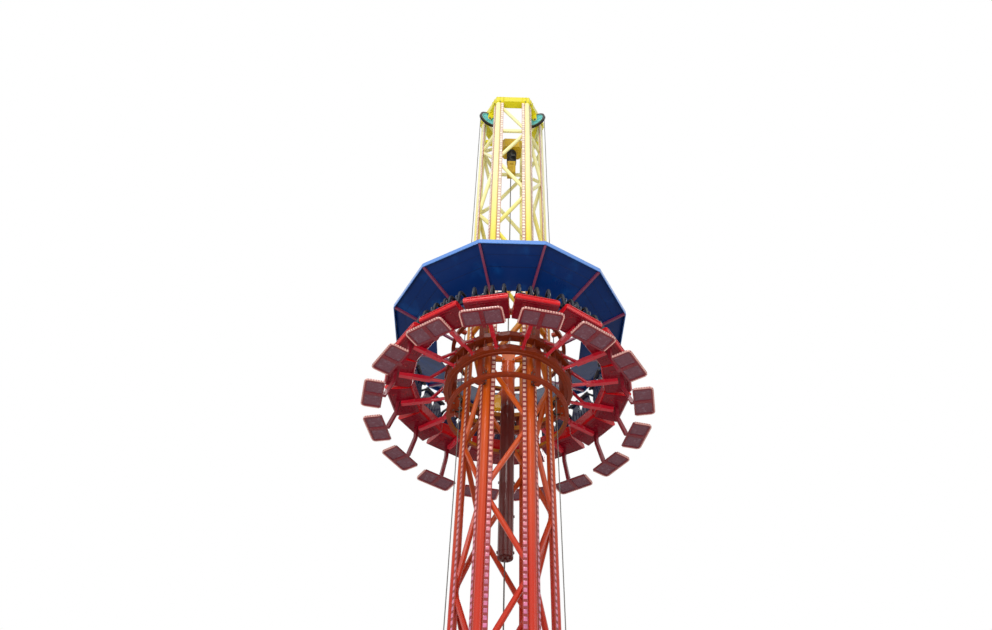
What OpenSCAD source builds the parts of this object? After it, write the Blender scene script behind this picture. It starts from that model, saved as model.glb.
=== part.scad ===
/* [Tower] */
// Distance from the tower's centre line to each column's centre line
column_r = 910; // [870:5:950]
// Outside diameter of a column tube
column_d = 170; // [150:5:190]
// Height of the column tops above the ground
column_top = 25650; // [25400:50:26400]
// Height gained by one diagonal from one column's centre line to the next
diagonal_rise = 1655; // [1500:5:1750]
// Outside width of a diagonal tube
diagonal_d = 110; // [80:5:130]
// Outside width of a level tube at a section joint
level_d = 120; // [90:5:140]
// Diagonals in one full tower section
diagonals_per_section = 5; // [3:1:7]
// Height of the topmost section joint
top_joint_z = 24000; // [23500:50:24400]
// Full tower sections below that joint
full_sections = 2; // [1:1:2]
// Width of a light channel beside a column
channel_w = 88; // [70:2:100]
// Depth of a light channel
channel_t = 22; // [14:1:30]
// Distance from a column's centre line to the near edge of its light channel
channel_offset = 78; // [70:1:90]
// Height of the head frame's box section
head_h = 280; // [220:10:340]
// Width of the head frame's box section
head_w = 280; // [220:10:300]
// Height of the junction box above the ground
box_z = 14000; // [13000:50:15000]

/* [Base] */
// Outside radius of the base plate
base_r = 1240; // [1200:5:1300]
// Thickness of the base plate
base_t = 50; // [30:5:80]
// Diameter of the circle of anchor bolts
anchor_pcd = 2300; // [2240:10:2360]
// Diameter of an anchor bolt hole
anchor_hole_d = 39; // [30:1:45]
// Height of the gusset plates round a column foot
gusset_h = 240; // [150:10:280]

/* [Gondola] */
// Height of the footrests above the ground, as in the photograph
foot_z = 13300; // [12000:50:14000]
// Two-seat modules round the gondola
modules = 16; // [16:1:16]
// Distance from the seat shell's front edge out to the middle of the footrests
foot_reach = 185; // [140:5:220]
// Footrest size across, along the circle
foot_w = 810; // [700:10:850]
// Footrest size in and out
foot_depth = 410; // [340:10:440]
// Thickness of a footrest frame
foot_t = 36; // [24:2:50]
// Height of the seat shell's underside above the footrests
seat_h = 700; // [620:10:760]
// Width of a seat shell at its back edge
seat_w = 810; // [760:10:820]
// Width of a seat shell at its front edge
seat_front_w = 930; // [820:10:960]
// Radius of the seat shell's back edge
seat_back_r = 2110; // [2060:10:2140]
// Radius of the seat shell's front edge
seat_front_r = 2740; // [2680:10:2780]
// Wall thickness of a seat shell
shell_t = 34; // [20:2:40]
// Height of the seat backs above the shell's underside
seat_back_h = 860; // [760:10:900]
// Radius of the hub's sixteen flats
hub_r = 1420; // [1390:5:1450]
// Diameter of the seat arm tubes
arm_d = 76; // [60:2:90]

/* [Carriage] */
// Diameter of a guide wheel
wheel_d = 138; // [110:2:150]
// Width of a guide wheel
wheel_w = 60; // [40:2:70]
// Depth of a carriage post, in and out
post_d = 100; // [80:5:110]
// Width of a carriage post
post_w = 110; // [90:5:130]
// Height of the carriage posts
post_h = 2020; // [1980:10:2100]

/* [Canopy] */
// Radius of the canopy's corners
canopy_r = 2800; // [2700:10:2860]
// Radius of the canopy's inner corners
canopy_inner_r = 1760; // [1650:10:1900]
// Height of the canopy's rim above the footrests
canopy_h = 2600; // [2500:10:2700]
// Height by which the canopy falls for each unit towards the tower
canopy_slope = 0.446; // [0.3:0.01:0.5]
// Thickness of a canopy panel
panel_t = 14; // [8:1:20]
// Height of the rim fascia
fascia_h = 110; // [80:5:140]
// Width of a canopy rib
rib_w = 50; // [30:2:70]
// Depth of a canopy rib
rib_h = 60; // [40:5:80]

/* [Hoist] */
// Pitch diameter of a rope sheave
sheave_d = 600; // [540:10:620]
// Diameter of a hoist rope
rope_d = 20; // [14:1:26]
// Radius of the outer rope runs from the tower's centre line
rope_r = 1170; // [1150:2:1180]
// Depth of the head sheaves' axles below the column tops
sheave_drop = 350; // [345:5:380]
// Diameter of a sheave axle
axle_d = 60; // [40:5:70]
// Width of a sheave over its flanges
sheave_w = 70; // [50:5:90]
// Height of the winch beam above the topmost section joint
winch_rise = 500; // [300:10:600]
// Diameter of the counterweight
weight_d = 300; // [260:5:330]
// Length of the counterweight
weight_len = 5000; // [4600:50:5200]
// Height of the counterweight's lower end in the photograph
weight_z = 9800; // [9500:50:10000]

/* [Hidden] */
columns = 6;
faces = 6;
ropes = 3;
canopy_sides = 12;
anchors = 12;
column_names = [for (i = [1:columns]) str("column_", i)];
lattice_names = [for (i = [1:faces]) str("lattice_", i)];
sheave_names = [for (i = [1:ropes]) str("head_sheave_", i)];

// Clearances: between fixed neighbours, round an axle, round a rope that slides, and the overlap of a fused pair
seat_gap = 0.3;
running_gap = 0.5;
rope_gap = 0.5;
weld = 1;

// Tower
column_radius = column_d / 2;
face_r = column_r * cos(30);
face_half = column_r / 2;
column_angle = function (i) 60 * (i - 1);
face_angle = function (i) 30 + 60 * (i - 1);
section_h = diagonal_rise * diagonals_per_section;
base_section_n = floor((top_joint_z - full_sections * section_h) / diagonal_rise);
first_node_z = top_joint_z - full_sections * section_h - base_section_n * diagonal_rise;
bar_end = face_half - column_radius - seat_gap;
bar_sides = 8;
channel_foot = 60;
channel_z = base_t + gusset_h + channel_foot;
channel_x = diagonal_d / 2 - 6;
gusset_reach = 150;
gusset_t = 20;
gusset_edge = 40;
gusset_top = 30;
box_size = [255, 115, 400];
box_side_gap = 70;
box_back_gap = 73;
box_lug = [70, 30, 320];
box_lug_turn = -55;

// Hoist
rope_angle = function (i) 210 + 120 * (i - 1);
sheave_r = rope_r - sheave_d / 2;
inner_rope_r = rope_r - sheave_d;
flange_h = rope_d * 1.5;
flange_r = sheave_d / 2 + flange_h;
web_t = 20;
rim_t = 55;
hub_t = 15;
cheek_gap = 5;
cheek_t = 14;
cap_h = 8;
bearing_h = 50;
stand_half = 150;
tail_z = base_t + flange_r + 20;
sheave_z = column_top - sheave_drop;
beam_z = top_joint_z + winch_rise;
beam_h = 160;
beam_w = 140;
housing_h = 480;
housing_x = 300;
housing_y = 230;
housing_corner = 80;
motor_d = 260;
motor_h = 670;
brake_w = 250;
brake_h = 600;
yoke_h = 260;
yoke_arm_w = 60;
yoke_arm_h = 70;
yoke_eye_w = 80;

// Carriage
wheel_gap = 16;
post_in = column_r + column_radius + seat_gap + wheel_d + wheel_gap;
post_out = post_in + post_d;
post_drop = 60;
ring_in = sqrt(pow(post_out, 2) + pow(post_w / 2, 2)) + seat_gap;
wheel_x = column_r + column_radius + seat_gap + wheel_d / 2;
wheel_pin_d = 24;
wheel_side_gap = 2;
fork_t = 12;
fork_end = 60;
wheel_pitch = 270;
wheel_pairs = [[160, 160 + wheel_pitch], [post_h - 160 - wheel_pitch, post_h - 160]];
low_band_h = 80;
low_band_w = 80;
top_band_h = 80;
top_band_w = 90;
top_band_z = post_h - post_drop - top_band_h;
hub_low_z = 600;
hub_high_z = 1000;
hub_band_h = 120;
hub_web_t = 16;
clamp_w = 80;
clamp_back = 34;

// Seats
foot_r = seat_front_r + foot_reach;
module_step = 360 / modules;
module_angle = function (k) module_step / 2 + module_step * k;
arm_apex_r = hub_r + 380;
arm_drop = 50;
arm_plate_w = 110;
arm_plate_t = 16;
stub_w = 90;
stub_h = 100;
stub_end = 40;
wall_h = 300;
front_wall_h = 140;
front_corner = 80;
back_corner = 90;
mid_wall = 30;
bay_w = (seat_w - mid_wall) / 2 - shell_t;
bay_y = (bay_w + mid_wall) / 2;
back_t = 75;
back_w = bay_w - 2 * seat_gap;
back_bend = 300;
back_lean = 0.1;
shoulder_h = 560;
neck_h = 680;
headrest_w = 168;
headrest_corner = 40;
wing_w = 28;
wing_d = 50;
wing_low = 150;
wing_high = 520;
wing_slope = 50;
yoke_y = 125;
pivot_drop = 70;
pivot_w = 120;
pivot_t = 40;
pivot_h = 60;
knee_out = 285;
knee_rise = 30;
chest_out = 388;
chest_rise = 370;
shoulder_tube_d = 70;
chest_tube_d = 80;
chest_bar_d = 46;
strut_r = seat_front_r - 250;
strut_w = 80;
strut_top = 90;
strut_knee = 400;
strut_foot = 60;
strut_heel = 30;
foot_corner = 70;
foot_border = 35;
foot_mid = 90;
tread_t = 6;
tread_d = foot_depth - 2 * foot_border;
tread_w = (foot_w - foot_mid) / 2 - foot_border;
tread_y = (foot_mid + tread_w) / 2;
rim_d = 30;
rim_inset = 30;

// Canopy
canopy_half = 180 / canopy_sides;
canopy_out = canopy_r * cos(canopy_half);
canopy_in = canopy_inner_r * cos(canopy_half);
panel_slope = canopy_slope / cos(canopy_half);
panel_tilt = atan(panel_slope);
panel_edge = 3;
fascia_t = 20;

// A round run of points on an arc, in n steps
function arc(c, r, a0, a1, n) = [for (i = [0:n]) c + r * [cos(a0 + (a1 - a0) * i / n), sin(a0 + (a1 - a0) * i / n)]];

function reversed(list) = [for (i = [len(list) - 1:-1:0]) list[i]];

// One straight tube laid from point a to point b
module bar(a, b, d, sides = bar_sides) {
    v = b - a;
    len = norm(v);
    translate(a) rotate([0, acos(v[2] / len), atan2(v[1], v[0])]) rotate([0, 0, 180 / sides])
        cylinder(h = len, d = d, $fn = sides);
}

// A profile of radius and height, made w wide across the radius
module across(w, y = 0) {
    translate([0, y + w / 2, 0]) rotate([90, 0, 0]) linear_extrude(w) children();
}

// An outline of width and height, made depth deep outwards from radius r
module facing(r, depth) {
    translate([r, 0, 0]) rotate([90, 0, 90]) linear_extrude(depth) children();
}

module at_face(i) {
    rotate([0, 0, face_angle(i)]) translate([face_r, 0, 0]) children();
}

module at_rope(i) {
    rotate([0, 0, rope_angle(i)]) children();
}

module at_column(i) {
    rotate([0, 0, column_angle(i)]) translate([0, 0, foot_z - post_drop]) children();
}

module at_module(k) {
    rotate([0, 0, module_angle(k)]) translate([0, 0, foot_z]) children();
}

// Tower

module column(i) {
    color("orangered") rotate([0, 0, column_angle(i)]) translate([column_r, 0, base_t])
        cylinder(h = column_top - base_t, d = column_d, $fn = 48);
}

// Zigzag of one side: each section starts again from the same column, to the left or right as first says
module zigzag(z0, count, first) {
    for (k = [0:count - 1]) {
        side = k % 2 == 0 ? first : -first;
        bar([0, side * face_half, z0 + k * diagonal_rise],
            [0, -side * face_half, z0 + (k + 1) * diagonal_rise], diagonal_d);
    }
}

module level(z) {
    bar([0, -face_half, z], [0, face_half, z], level_d);
}

// Neighbouring sides mirror each other; one with a head sheave in it has no diagonal above the topmost joint
module lattice_side(i) {
    odd = i % 2 == 1;
    first = odd ? -1 : 1;
    near = face_half - channel_offset;
    color("orange") at_face(i) {
        intersection() {
            union() {
                zigzag(first_node_z, base_section_n, first);
                for (s = [0:full_sections - 1])
                    zigzag(top_joint_z - (full_sections - s) * section_h, diagonals_per_section, first);
                for (s = [0:full_sections]) level(top_joint_z - s * section_h);
                level(first_node_z);
                if (odd) zigzag(top_joint_z, 1, 1);
            }
            translate([-level_d, -bar_end, 0]) cube([2 * level_d, 2 * bar_end, column_top - seat_gap]);
        }
        for (y = [near - channel_w, -near])
            translate([channel_x, y, channel_z]) cube([channel_t, channel_w, column_top - channel_z - seat_gap]);
    }
}

module gusset() {
    translate([column_radius + seat_gap, gusset_t / 2, base_t - weld]) rotate([90, 0, 0]) linear_extrude(gusset_t)
        polygon([[0, 0], [gusset_reach, 0], [gusset_reach, gusset_edge], [gusset_top, gusset_h], [0, gusset_h]]);
}

// Base plate with its anchor holes, gusseted column feet and the tail sheaves' stands
module base_frame() {
    color("dimgray") difference() {
        union() {
            cylinder(h = base_t, r = base_r, $fn = 96);
            for (i = [1:columns]) rotate([0, 0, column_angle(i)]) translate([column_r, 0, 0])
                for (a = [0:90:270]) rotate([0, 0, a]) gusset();
            for (i = [1:ropes]) at_rope(i)
                sheave_stand(base_t - weld, tail_z, [sheave_r - stand_half, sheave_r + stand_half]);
        }
        for (k = [0:anchors - 1]) rotate([0, 0, (k + 0.5) * 360 / anchors]) translate([anchor_pcd / 2, 0, -weld])
            cylinder(h = base_t + 2 * weld, d = anchor_hole_d, $fn = 36);
    }
}

// Both cheeks and the axle of one sheave, standing on z0 or hung from it between the two foot radii
module sheave_stand(z0, z_axle, foot) {
    up = z_axle > z0 ? 1 : -1;
    cheek_y = sheave_w / 2 + cheek_gap + cheek_t / 2;
    axle_len = sheave_w + 2 * (cheek_gap + cheek_t + cap_h);
    for (side = [-1, 1]) across(cheek_t, side * cheek_y) polygon([
        [foot[0], z0], [foot[1], z0], [sheave_r + axle_d, z_axle - up * axle_d / 3],
        [sheave_r + axle_d * 0.7, z_axle + up * bearing_h], [sheave_r - axle_d * 0.7, z_axle + up * bearing_h],
        [sheave_r - axle_d, z_axle - up * axle_d / 3]]);
    translate([sheave_r, axle_len / 2, z_axle]) rotate([90, 0, 0]) cylinder(h = axle_len, d = axle_d, $fn = 36);
}

// Grooved wheel with a thin web, turned about its own axis
module sheave(z_axle) {
    bore_r = axle_d / 2 + running_gap;
    groove_r = rope_d / 2 + running_gap;
    web_in = axle_d + hub_t;
    web_out = sheave_d / 2 - rim_t;
    translate([sheave_r, 0, z_axle]) rotate([90, 0, 0]) rotate_extrude($fn = 96) difference() {
        translate([bore_r, -sheave_w / 2]) square([flange_r - bore_r, sheave_w]);
        translate([sheave_d / 2, 0]) circle(r = groove_r, $fn = 36);
        translate([sheave_d / 2, -groove_r]) square([flange_r, 2 * groove_r]);
        for (y = [web_t / 2, -web_t / 2 - sheave_w]) translate([web_in, y]) square([web_out - web_in, sheave_w]);
    }
}

module head_frame() {
    color("yellow") translate([0, 0, column_top]) difference() {
        cylinder(h = head_h, r = column_r + head_w / 2, $fn = 6);
        translate([0, 0, -weld]) cylinder(h = head_h + 2 * weld, r = column_r - head_w / 2, $fn = 6);
    }
}

module sheave_brackets() {
    inner = (column_r - head_w / 2) * cos(30) + seat_gap;
    outer = (column_r + head_w / 2) * cos(30) - seat_gap;
    color("gold") for (i = [1:ropes]) at_rope(i) sheave_stand(column_top - seat_gap, sheave_z, [inner, outer]);
}

module tail_sheaves() {
    color("teal") for (i = [1:ropes]) at_rope(i) sheave(tail_z);
}

module head_sheave(i) {
    color("teal") at_rope(i) sheave(sheave_z);
}

// Half a turn of rope round a sheave, over it when over is 90 and under it when over is -90
module rope_turn(z_axle, over) {
    translate([sheave_r, 0, z_axle]) rotate([over, 0, 0]) rotate_extrude(angle = 180, $fn = 72)
        translate([sheave_d / 2, 0]) circle(d = rope_d, $fn = 24);
}

// Each rope is one closed loop over its head sheave and under its tail sheave
module hoist_ropes() {
    color("silver") for (i = [1:ropes]) at_rope(i) {
        for (r = [rope_r, inner_rope_r]) translate([r, 0, tail_z])
            cylinder(h = sheave_z - tail_z, d = rope_d, $fn = 24);
        rope_turn(sheave_z, 90);
        rope_turn(tail_z, -90);
    }
}

module winch_beam() {
    len = 2 * (column_r - column_radius - seat_gap);
    color("yellow") translate([-len / 2, -beam_w / 2, beam_z]) cube([len, beam_w, beam_h]);
}

module winch_housing() {
    x = housing_x;
    y = housing_y;
    c = housing_corner;
    color("orange") translate([0, 0, beam_z - housing_h]) linear_extrude(housing_h)
        polygon([[-x, c - y], [c - x, -y], [x - c, -y], [x, c - y], [x, y - c], [x - c, y], [c - x, y], [-x, y - c]]);
}

module winch_motor() {
    color("black") translate([0, 0, beam_z - housing_h - motor_h]) cylinder(h = motor_h, d = motor_d, $fn = 48);
}

module brake_housing() {
    color("orange") translate([-brake_w / 2, -brake_w / 2, beam_z - housing_h - motor_h - brake_h])
        cube([brake_w, brake_w, brake_h]);
}

// Box inside the far side, on a lug from the column to its left
module junction_box() {
    color("yellow") {
        translate([box_side_gap - face_half, face_r - box_back_gap - box_size[1], box_z]) cube(box_size);
        translate([-face_half, face_r, box_z + (box_size[2] - box_lug[2]) / 2]) rotate([0, 0, box_lug_turn])
            translate([column_radius + seat_gap, -box_lug[1] / 2, 0]) cube(box_lug);
    }
}

module counterweight() {
    color("chocolate") translate([0, 0, weight_z]) cylinder(h = weight_len, d = weight_d, $fn = 64);
}

// Block on the weight with three arms whose eyes slide along the inner rope runs
module weight_yoke() {
    eye_h = yoke_h - yoke_arm_w;
    color("orange") translate([0, 0, weight_z + weight_len]) difference() {
        union() {
            translate([-weight_d / 2, -weight_d / 2, 0]) cube([weight_d, weight_d, yoke_h]);
            for (i = [1:ropes]) at_rope(i) {
                translate([0, -yoke_arm_w / 2, yoke_arm_w]) cube([inner_rope_r, yoke_arm_w, yoke_arm_h]);
                translate([inner_rope_r - yoke_eye_w / 2, -yoke_eye_w / 2, yoke_arm_w / 3])
                    cube([yoke_eye_w, yoke_eye_w, eye_h]);
            }
        }
        for (i = [1:ropes]) at_rope(i) translate([inner_rope_r, 0, 0])
            cylinder(h = yoke_h, d = rope_d + 2 * rope_gap, $fn = 36);
    }
}

// Carriage

// Post with the forks and pins of its two pairs of guide wheels
module carriage_post() {
    fork_y = wheel_w / 2 + wheel_side_gap + fork_t / 2;
    fork_in = wheel_x - wheel_pin_d;
    translate([post_in, -post_w / 2, 0]) cube([post_d, post_w, post_h]);
    for (pair = wheel_pairs) {
        for (side = [-1, 1]) translate([fork_in, side * fork_y - fork_t / 2, pair[0] - fork_end])
            cube([post_in - fork_in + weld, fork_t, pair[1] - pair[0] + 2 * fork_end]);
        for (z = pair) translate([wheel_x, fork_y + fork_t / 2, z]) rotate([90, 0, 0])
            cylinder(h = 2 * fork_y + fork_t, d = wheel_pin_d, $fn = 24);
    }
}

module carriage_posts() {
    color("saddlebrown") for (i = [1:columns]) at_column(i) carriage_post();
}

module guide_wheels() {
    color("dimgray") for (i = [1:columns]) at_column(i) for (pair = wheel_pairs) for (z = pair)
        translate([wheel_x, wheel_w / 2, z]) rotate([90, 0, 0]) difference() {
            cylinder(h = wheel_w, d = wheel_d, $fn = 48);
            translate([0, 0, -weld]) cylinder(h = wheel_w + 2 * weld, d = wheel_pin_d + 2 * running_gap, $fn = 24);
        }
}

module hub_outline() {
    corner = hub_r / cos(module_step / 2);
    polygon([for (k = [0:modules - 1]) corner * [cos(k * module_step), sin(k * module_step)]]);
}

module ring_band(z, h, w) {
    translate([0, 0, foot_z + z]) difference() {
        cylinder(h = h, r = ring_in + w, $fn = 96);
        translate([0, 0, -weld]) cylinder(h = h + 2 * weld, r = ring_in, $fn = 96);
    }
}

// Lower band, sixteen-sided hub with its webs, and the band that carries the canopy
module carriage_rings() {
    web_in = ring_in + 40;
    web_out = hub_r - 15;
    hub_top = hub_high_z + hub_band_h;
    color("saddlebrown") {
        ring_band(-post_drop, low_band_h, low_band_w);
        ring_band(top_band_z, top_band_h, top_band_w);
        translate([0, 0, foot_z]) difference() {
            union() {
                for (z = [hub_low_z, hub_high_z]) translate([0, 0, z]) linear_extrude(hub_band_h) hub_outline();
                for (k = [0:modules - 1]) rotate([0, 0, k * module_step])
                    translate([web_in, -hub_web_t / 2, hub_low_z + hub_band_h - weld])
                        cube([web_out - web_in, hub_web_t, hub_high_z - hub_low_z - hub_band_h + 2 * weld]);
            }
            translate([0, 0, hub_low_z - weld]) cylinder(h = hub_top - hub_low_z + 2 * weld, r = ring_in, $fn = 96);
        }
    }
}

module rope_clamps() {
    half = clamp_w / 2;
    reach = sqrt(pow(ring_in - seat_gap, 2) - half * half);
    start = rope_r - clamp_back;
    color("orangered") for (i = [1:ropes]) at_rope(i) translate([0, 0, foot_z + top_band_z]) difference() {
        translate([start, -half, 0]) cube([reach - start, clamp_w, top_band_h]);
        translate([rope_r, 0, -weld]) cylinder(h = top_band_h + 2 * weld, d = rope_d + 2 * rope_gap, $fn = 36);
    }
}

// Seats and footrests

// End plates on the hub, the two tubes of the V and the stub that the shell stands on
module seat_arm() {
    low = hub_low_z + hub_band_h / 2;
    high = hub_high_z + hub_band_h / 2;
    start = hub_r + arm_plate_t / 2;
    apex = seat_h - arm_drop;
    stub_in = arm_apex_r - arm_drop;
    for (z = [low, high]) translate([hub_r + seat_gap, -arm_plate_w / 2, z - hub_band_h / 2])
        cube([arm_plate_t, arm_plate_w, hub_band_h]);
    intersection() {
        for (z = [low, high]) bar([start, 0, z], [arm_apex_r, 0, apex], arm_d, 24);
        translate([hub_r + seat_gap, -arm_d, 0]) cube([arm_apex_r, 2 * arm_d, post_h]);
    }
    translate([stub_in, -stub_w / 2, seat_h - stub_h]) cube([strut_r - stub_end - stub_in, stub_w, stub_h]);
}

module seat_arms() {
    color("red") for (k = [0:modules - 1]) at_module(k) seat_arm();
}

// Half width of the seat shell at radius r
function side_y(r) = (seat_w + (seat_front_w - seat_w) * (r - seat_back_r) / (seat_front_r - seat_back_r)) / 2;

module shell_profile() {
    polygon(concat(
        arc([seat_front_r - front_corner, seat_h + front_corner], front_corner, 0, -90, 6),
        arc([seat_back_r + back_corner, seat_h + back_corner], back_corner, -90, -180, 6),
        [[seat_back_r, seat_h + wall_h], [seat_back_r + shell_t + 16, seat_h + wall_h],
         [seat_back_r + 240, seat_h + 200], [seat_front_r - 90, seat_h + front_wall_h + 10],
         [seat_front_r - 20, seat_h + front_wall_h]]));
}

module shell_cavity() {
    polygon(concat(
        arc([seat_front_r - front_corner, seat_h + front_corner], front_corner - shell_t, 0, -90, 6),
        arc([seat_back_r + back_corner, seat_h + back_corner], back_corner - shell_t, -90, -180, 6),
        [[seat_back_r + shell_t, seat_h + wall_h + weld], [seat_front_r - shell_t, seat_h + wall_h + weld]]));
}

module shell_plan() {
    r0 = seat_back_r - weld;
    r1 = seat_front_r + weld;
    polygon([[r0, -side_y(r0)], [r1, -side_y(r1)], [r1, side_y(r1)], [r0, side_y(r0)]]);
}

// Plan of one bay of the shell, kept inset from its walls
module bay_plan(side, inset) {
    r0 = seat_back_r + shell_t + inset;
    r1 = seat_front_r - shell_t - inset;
    middle = mid_wall / 2 + inset;
    wall = shell_t + inset;
    polygon([[r0, side * middle], [r1, side * middle], [r1, side * (side_y(r1) - wall)],
             [r0, side * (side_y(r0) - wall)]]);
}

// Solid of a radius and height profile cut to a plan
module cut_to_plan(h) {
    intersection() {
        across(seat_front_w + 2 * weld) children(0);
        translate([0, 0, seat_h - weld]) linear_extrude(h + 2 * weld) children(1);
    }
}

module seat_shells() {
    color("firebrick") for (k = [0:modules - 1]) at_module(k) difference() {
        cut_to_plan(wall_h) {
            shell_profile();
            shell_plan();
        }
        for (side = [-1, 1]) cut_to_plan(wall_h) {
            shell_cavity();
            bay_plan(side, 0);
        }
    }
}

function back_rear(z) = seat_back_r + shell_t + seat_gap - max(0, z - back_bend) * back_lean;

module back_profile() {
    low = shell_t + seat_gap;
    foot = back_corner - shell_t;
    rear = back_rear(0);
    top = back_rear(seat_back_h);
    polygon([[rear + 8, seat_h + low + foot - 16], [rear + foot + weld, seat_h + low], [rear + back_t, seat_h + low],
             [rear + back_t, seat_h + back_bend], [top + back_t, seat_h + seat_back_h], [top, seat_h + seat_back_h],
             [rear, seat_h + back_bend], [rear, seat_h + back_corner]]);
}

// Front view of a seat back: the width of the bay, drawn in above the shoulders to the headrest
module back_outline() {
    half = back_w / 2;
    head = headrest_w / 2;
    c = headrest_corner;
    top = seat_h + seat_back_h;
    right = [[half, seat_h], [half, seat_h + shoulder_h - c], [half - c, seat_h + shoulder_h],
             [head, seat_h + neck_h], [head, top - c], [head - c, top]];
    polygon(concat(right, [for (p = reversed(right)) [-p[0], p[1]]]));
}

// Bolster along one side of a seat back
module back_wing() {
    rear = back_rear(0) + back_t / 2;
    front = back_rear(0) + back_t + wing_d;
    polygon([[rear, seat_h + wing_low], [front, seat_h + wing_low + wing_slope],
             [front, seat_h + wing_high - 2 * wing_slope], [rear, seat_h + wing_high]]);
}

module seat_back(y0) {
    intersection() {
        across(back_w, y0) back_profile();
        translate([0, y0, 0]) facing(back_rear(seat_back_h) - weld, back_t + shell_t + wing_d) back_outline();
    }
    for (s = [-1, 1]) across(wing_w, y0 + s * (back_w - wing_w) / 2) back_wing();
}

module seat_backs() {
    color("midnightblue") for (k = [0:modules - 1]) at_module(k) for (side = [-1, 1]) seat_back(side * bay_y);
}

module cushion_profile() {
    r0 = back_rear(0) + back_t + 1;
    nose = seat_front_r - shell_t - 4;
    translate([0, seat_h + shell_t + seat_gap])
        polygon([[r0, 0], [nose - front_corner, 0], [nose - 30, 42], [nose - 30, 85], [nose - 120, 70], [r0, 60]]);
}

module seat_cushions() {
    color("black") for (k = [0:modules - 1]) at_module(k) for (side = [-1, 1]) cut_to_plan(wall_h) {
        cushion_profile();
        bay_plan(side, 4);
    }
}

// Shoulder restraint: pivot behind the head, two arms over the shoulders, bar at the chest
module restraint(y0) {
    zp = seat_h + seat_back_h - pivot_drop;
    rp = back_rear(seat_back_h - pivot_t) - seat_gap - pivot_t;
    knee_r = seat_back_r + knee_out;
    chest_r = seat_back_r + chest_out;
    chest_z = seat_h + chest_rise;
    end = yoke_y + shoulder_tube_d / 2;
    bar_end_y = yoke_y + chest_tube_d / 4;
    translate([rp, y0 - pivot_w / 2, zp - pivot_h / 2]) cube([pivot_t, pivot_w, pivot_h]);
    bar([rp, y0 - end, zp], [rp, y0 + end, zp], shoulder_tube_d);
    for (side = [-1, 1]) {
        y = y0 + side * yoke_y;
        bar([rp, y, zp], [knee_r + knee_rise / 2, y, zp + knee_rise], shoulder_tube_d);
        bar([knee_r, y, zp + knee_rise], [chest_r, y, chest_z], chest_tube_d);
    }
    bar([chest_r, y0 - bar_end_y, chest_z + chest_bar_d / 4], [chest_r, y0 + bar_end_y, chest_z + chest_bar_d / 4],
        chest_bar_d);
}

module restraints() {
    color("black") for (k = [0:modules - 1]) at_module(k) for (side = [-1, 1]) restraint(side * bay_y);
}

module footrest_struts() {
    edge = foot_r - foot_depth / 2 - seat_gap;
    color("darkred") for (k = [0:modules - 1]) at_module(k) across(strut_w)
        polygon([[strut_r, seat_h], [strut_r + strut_top, seat_h],
                 [strut_r + strut_top - strut_heel / 3, strut_knee + strut_heel], [edge, strut_heel], [edge, -foot_t],
                 [edge - strut_foot, -foot_t], [strut_r + strut_heel / 2, strut_knee]]);
}

// Outline of a footrest grown by d, from its inner edge round the two rounded outer corners
function rim_path(d, r0) = let(
    r1 = foot_r + foot_depth / 2 - foot_corner,
    half = foot_w / 2)
    concat([[r0, -half - d]], arc([r1, -half + foot_corner], foot_corner + d, -90, 0, 8),
           arc([r1, half - foot_corner], foot_corner + d, 0, 90, 8), [[r0, half + d]]);

module footrest_frames() {
    color("firebrick") for (k = [0:modules - 1]) at_module(k) translate([0, 0, -foot_t]) difference() {
        linear_extrude(foot_t) polygon(rim_path(0, foot_r - foot_depth / 2));
        for (side = [-1, 1]) translate([foot_r - tread_d / 2, side * tread_y - tread_w / 2, -weld])
            cube([tread_d, tread_w, foot_t + 2 * weld]);
    }
}

module tread_plates() {
    color("rosybrown") for (k = [0:modules - 1]) at_module(k) for (side = [-1, 1])
        translate([foot_r - tread_d / 2 + seat_gap, side * tread_y - tread_w / 2 + seat_gap, -foot_t * 0.6])
            cube([tread_d - 2 * seat_gap, tread_w - 2 * seat_gap, tread_t]);
}

// Light channel round the outer side and both ends of a footrest
module light_rim() {
    r0 = foot_r - foot_depth / 2 + rim_inset;
    translate([0, 0, -foot_t / 2 - rim_d / 2]) linear_extrude(rim_d)
        polygon(concat(rim_path(seat_gap + rim_d, r0), reversed(rim_path(seat_gap, r0))));
}

module light_rims() {
    color("white") for (k = [0:modules - 1]) at_module(k) light_rim();
}

// Canopy

module canopy_panels() {
    len = (canopy_out - canopy_in) / cos(panel_tilt);
    half_out = canopy_out * tan(canopy_half) - panel_edge;
    half_in = canopy_in * tan(canopy_half) - panel_edge;
    color("navy") for (k = [0:canopy_sides - 1]) rotate([0, 0, k * 2 * canopy_half])
        translate([canopy_out, 0, foot_z + canopy_h]) rotate([0, -panel_tilt, 0]) linear_extrude(panel_t)
            polygon([[0, -half_out], [0, half_out], [-len, half_in], [-len, -half_in]]);
}

module canopy_ribs() {
    r0 = ring_in + top_band_w + seat_gap;
    r1 = canopy_r - rib_w / 2 * tan(canopy_half) - seat_gap;
    valley = function (r) foot_z + canopy_h - seat_gap - canopy_slope * (canopy_r - r);
    color("maroon") for (k = [0:canopy_sides - 1]) rotate([0, 0, (2 * k + 1) * canopy_half])
        across(rib_w)
            polygon([[r0, valley(r0)], [r1, valley(r1)], [r1, valley(r1) - rib_h], [r0, valley(r0) - rib_h]]);
}

module canopy_fascia() {
    a0 = canopy_out + seat_gap;
    a1 = a0 + fascia_t;
    half = function (r) r * tan(canopy_half) - seat_gap;
    color("lightskyblue") for (k = [0:canopy_sides - 1]) rotate([0, 0, k * 2 * canopy_half])
        translate([0, 0, foot_z + canopy_h - rib_h]) linear_extrude(fascia_h)
            polygon([[a0, -half(a0)], [a1, -half(a1)], [a1, half(a1)], [a0, half(a0)]]);
}

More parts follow.
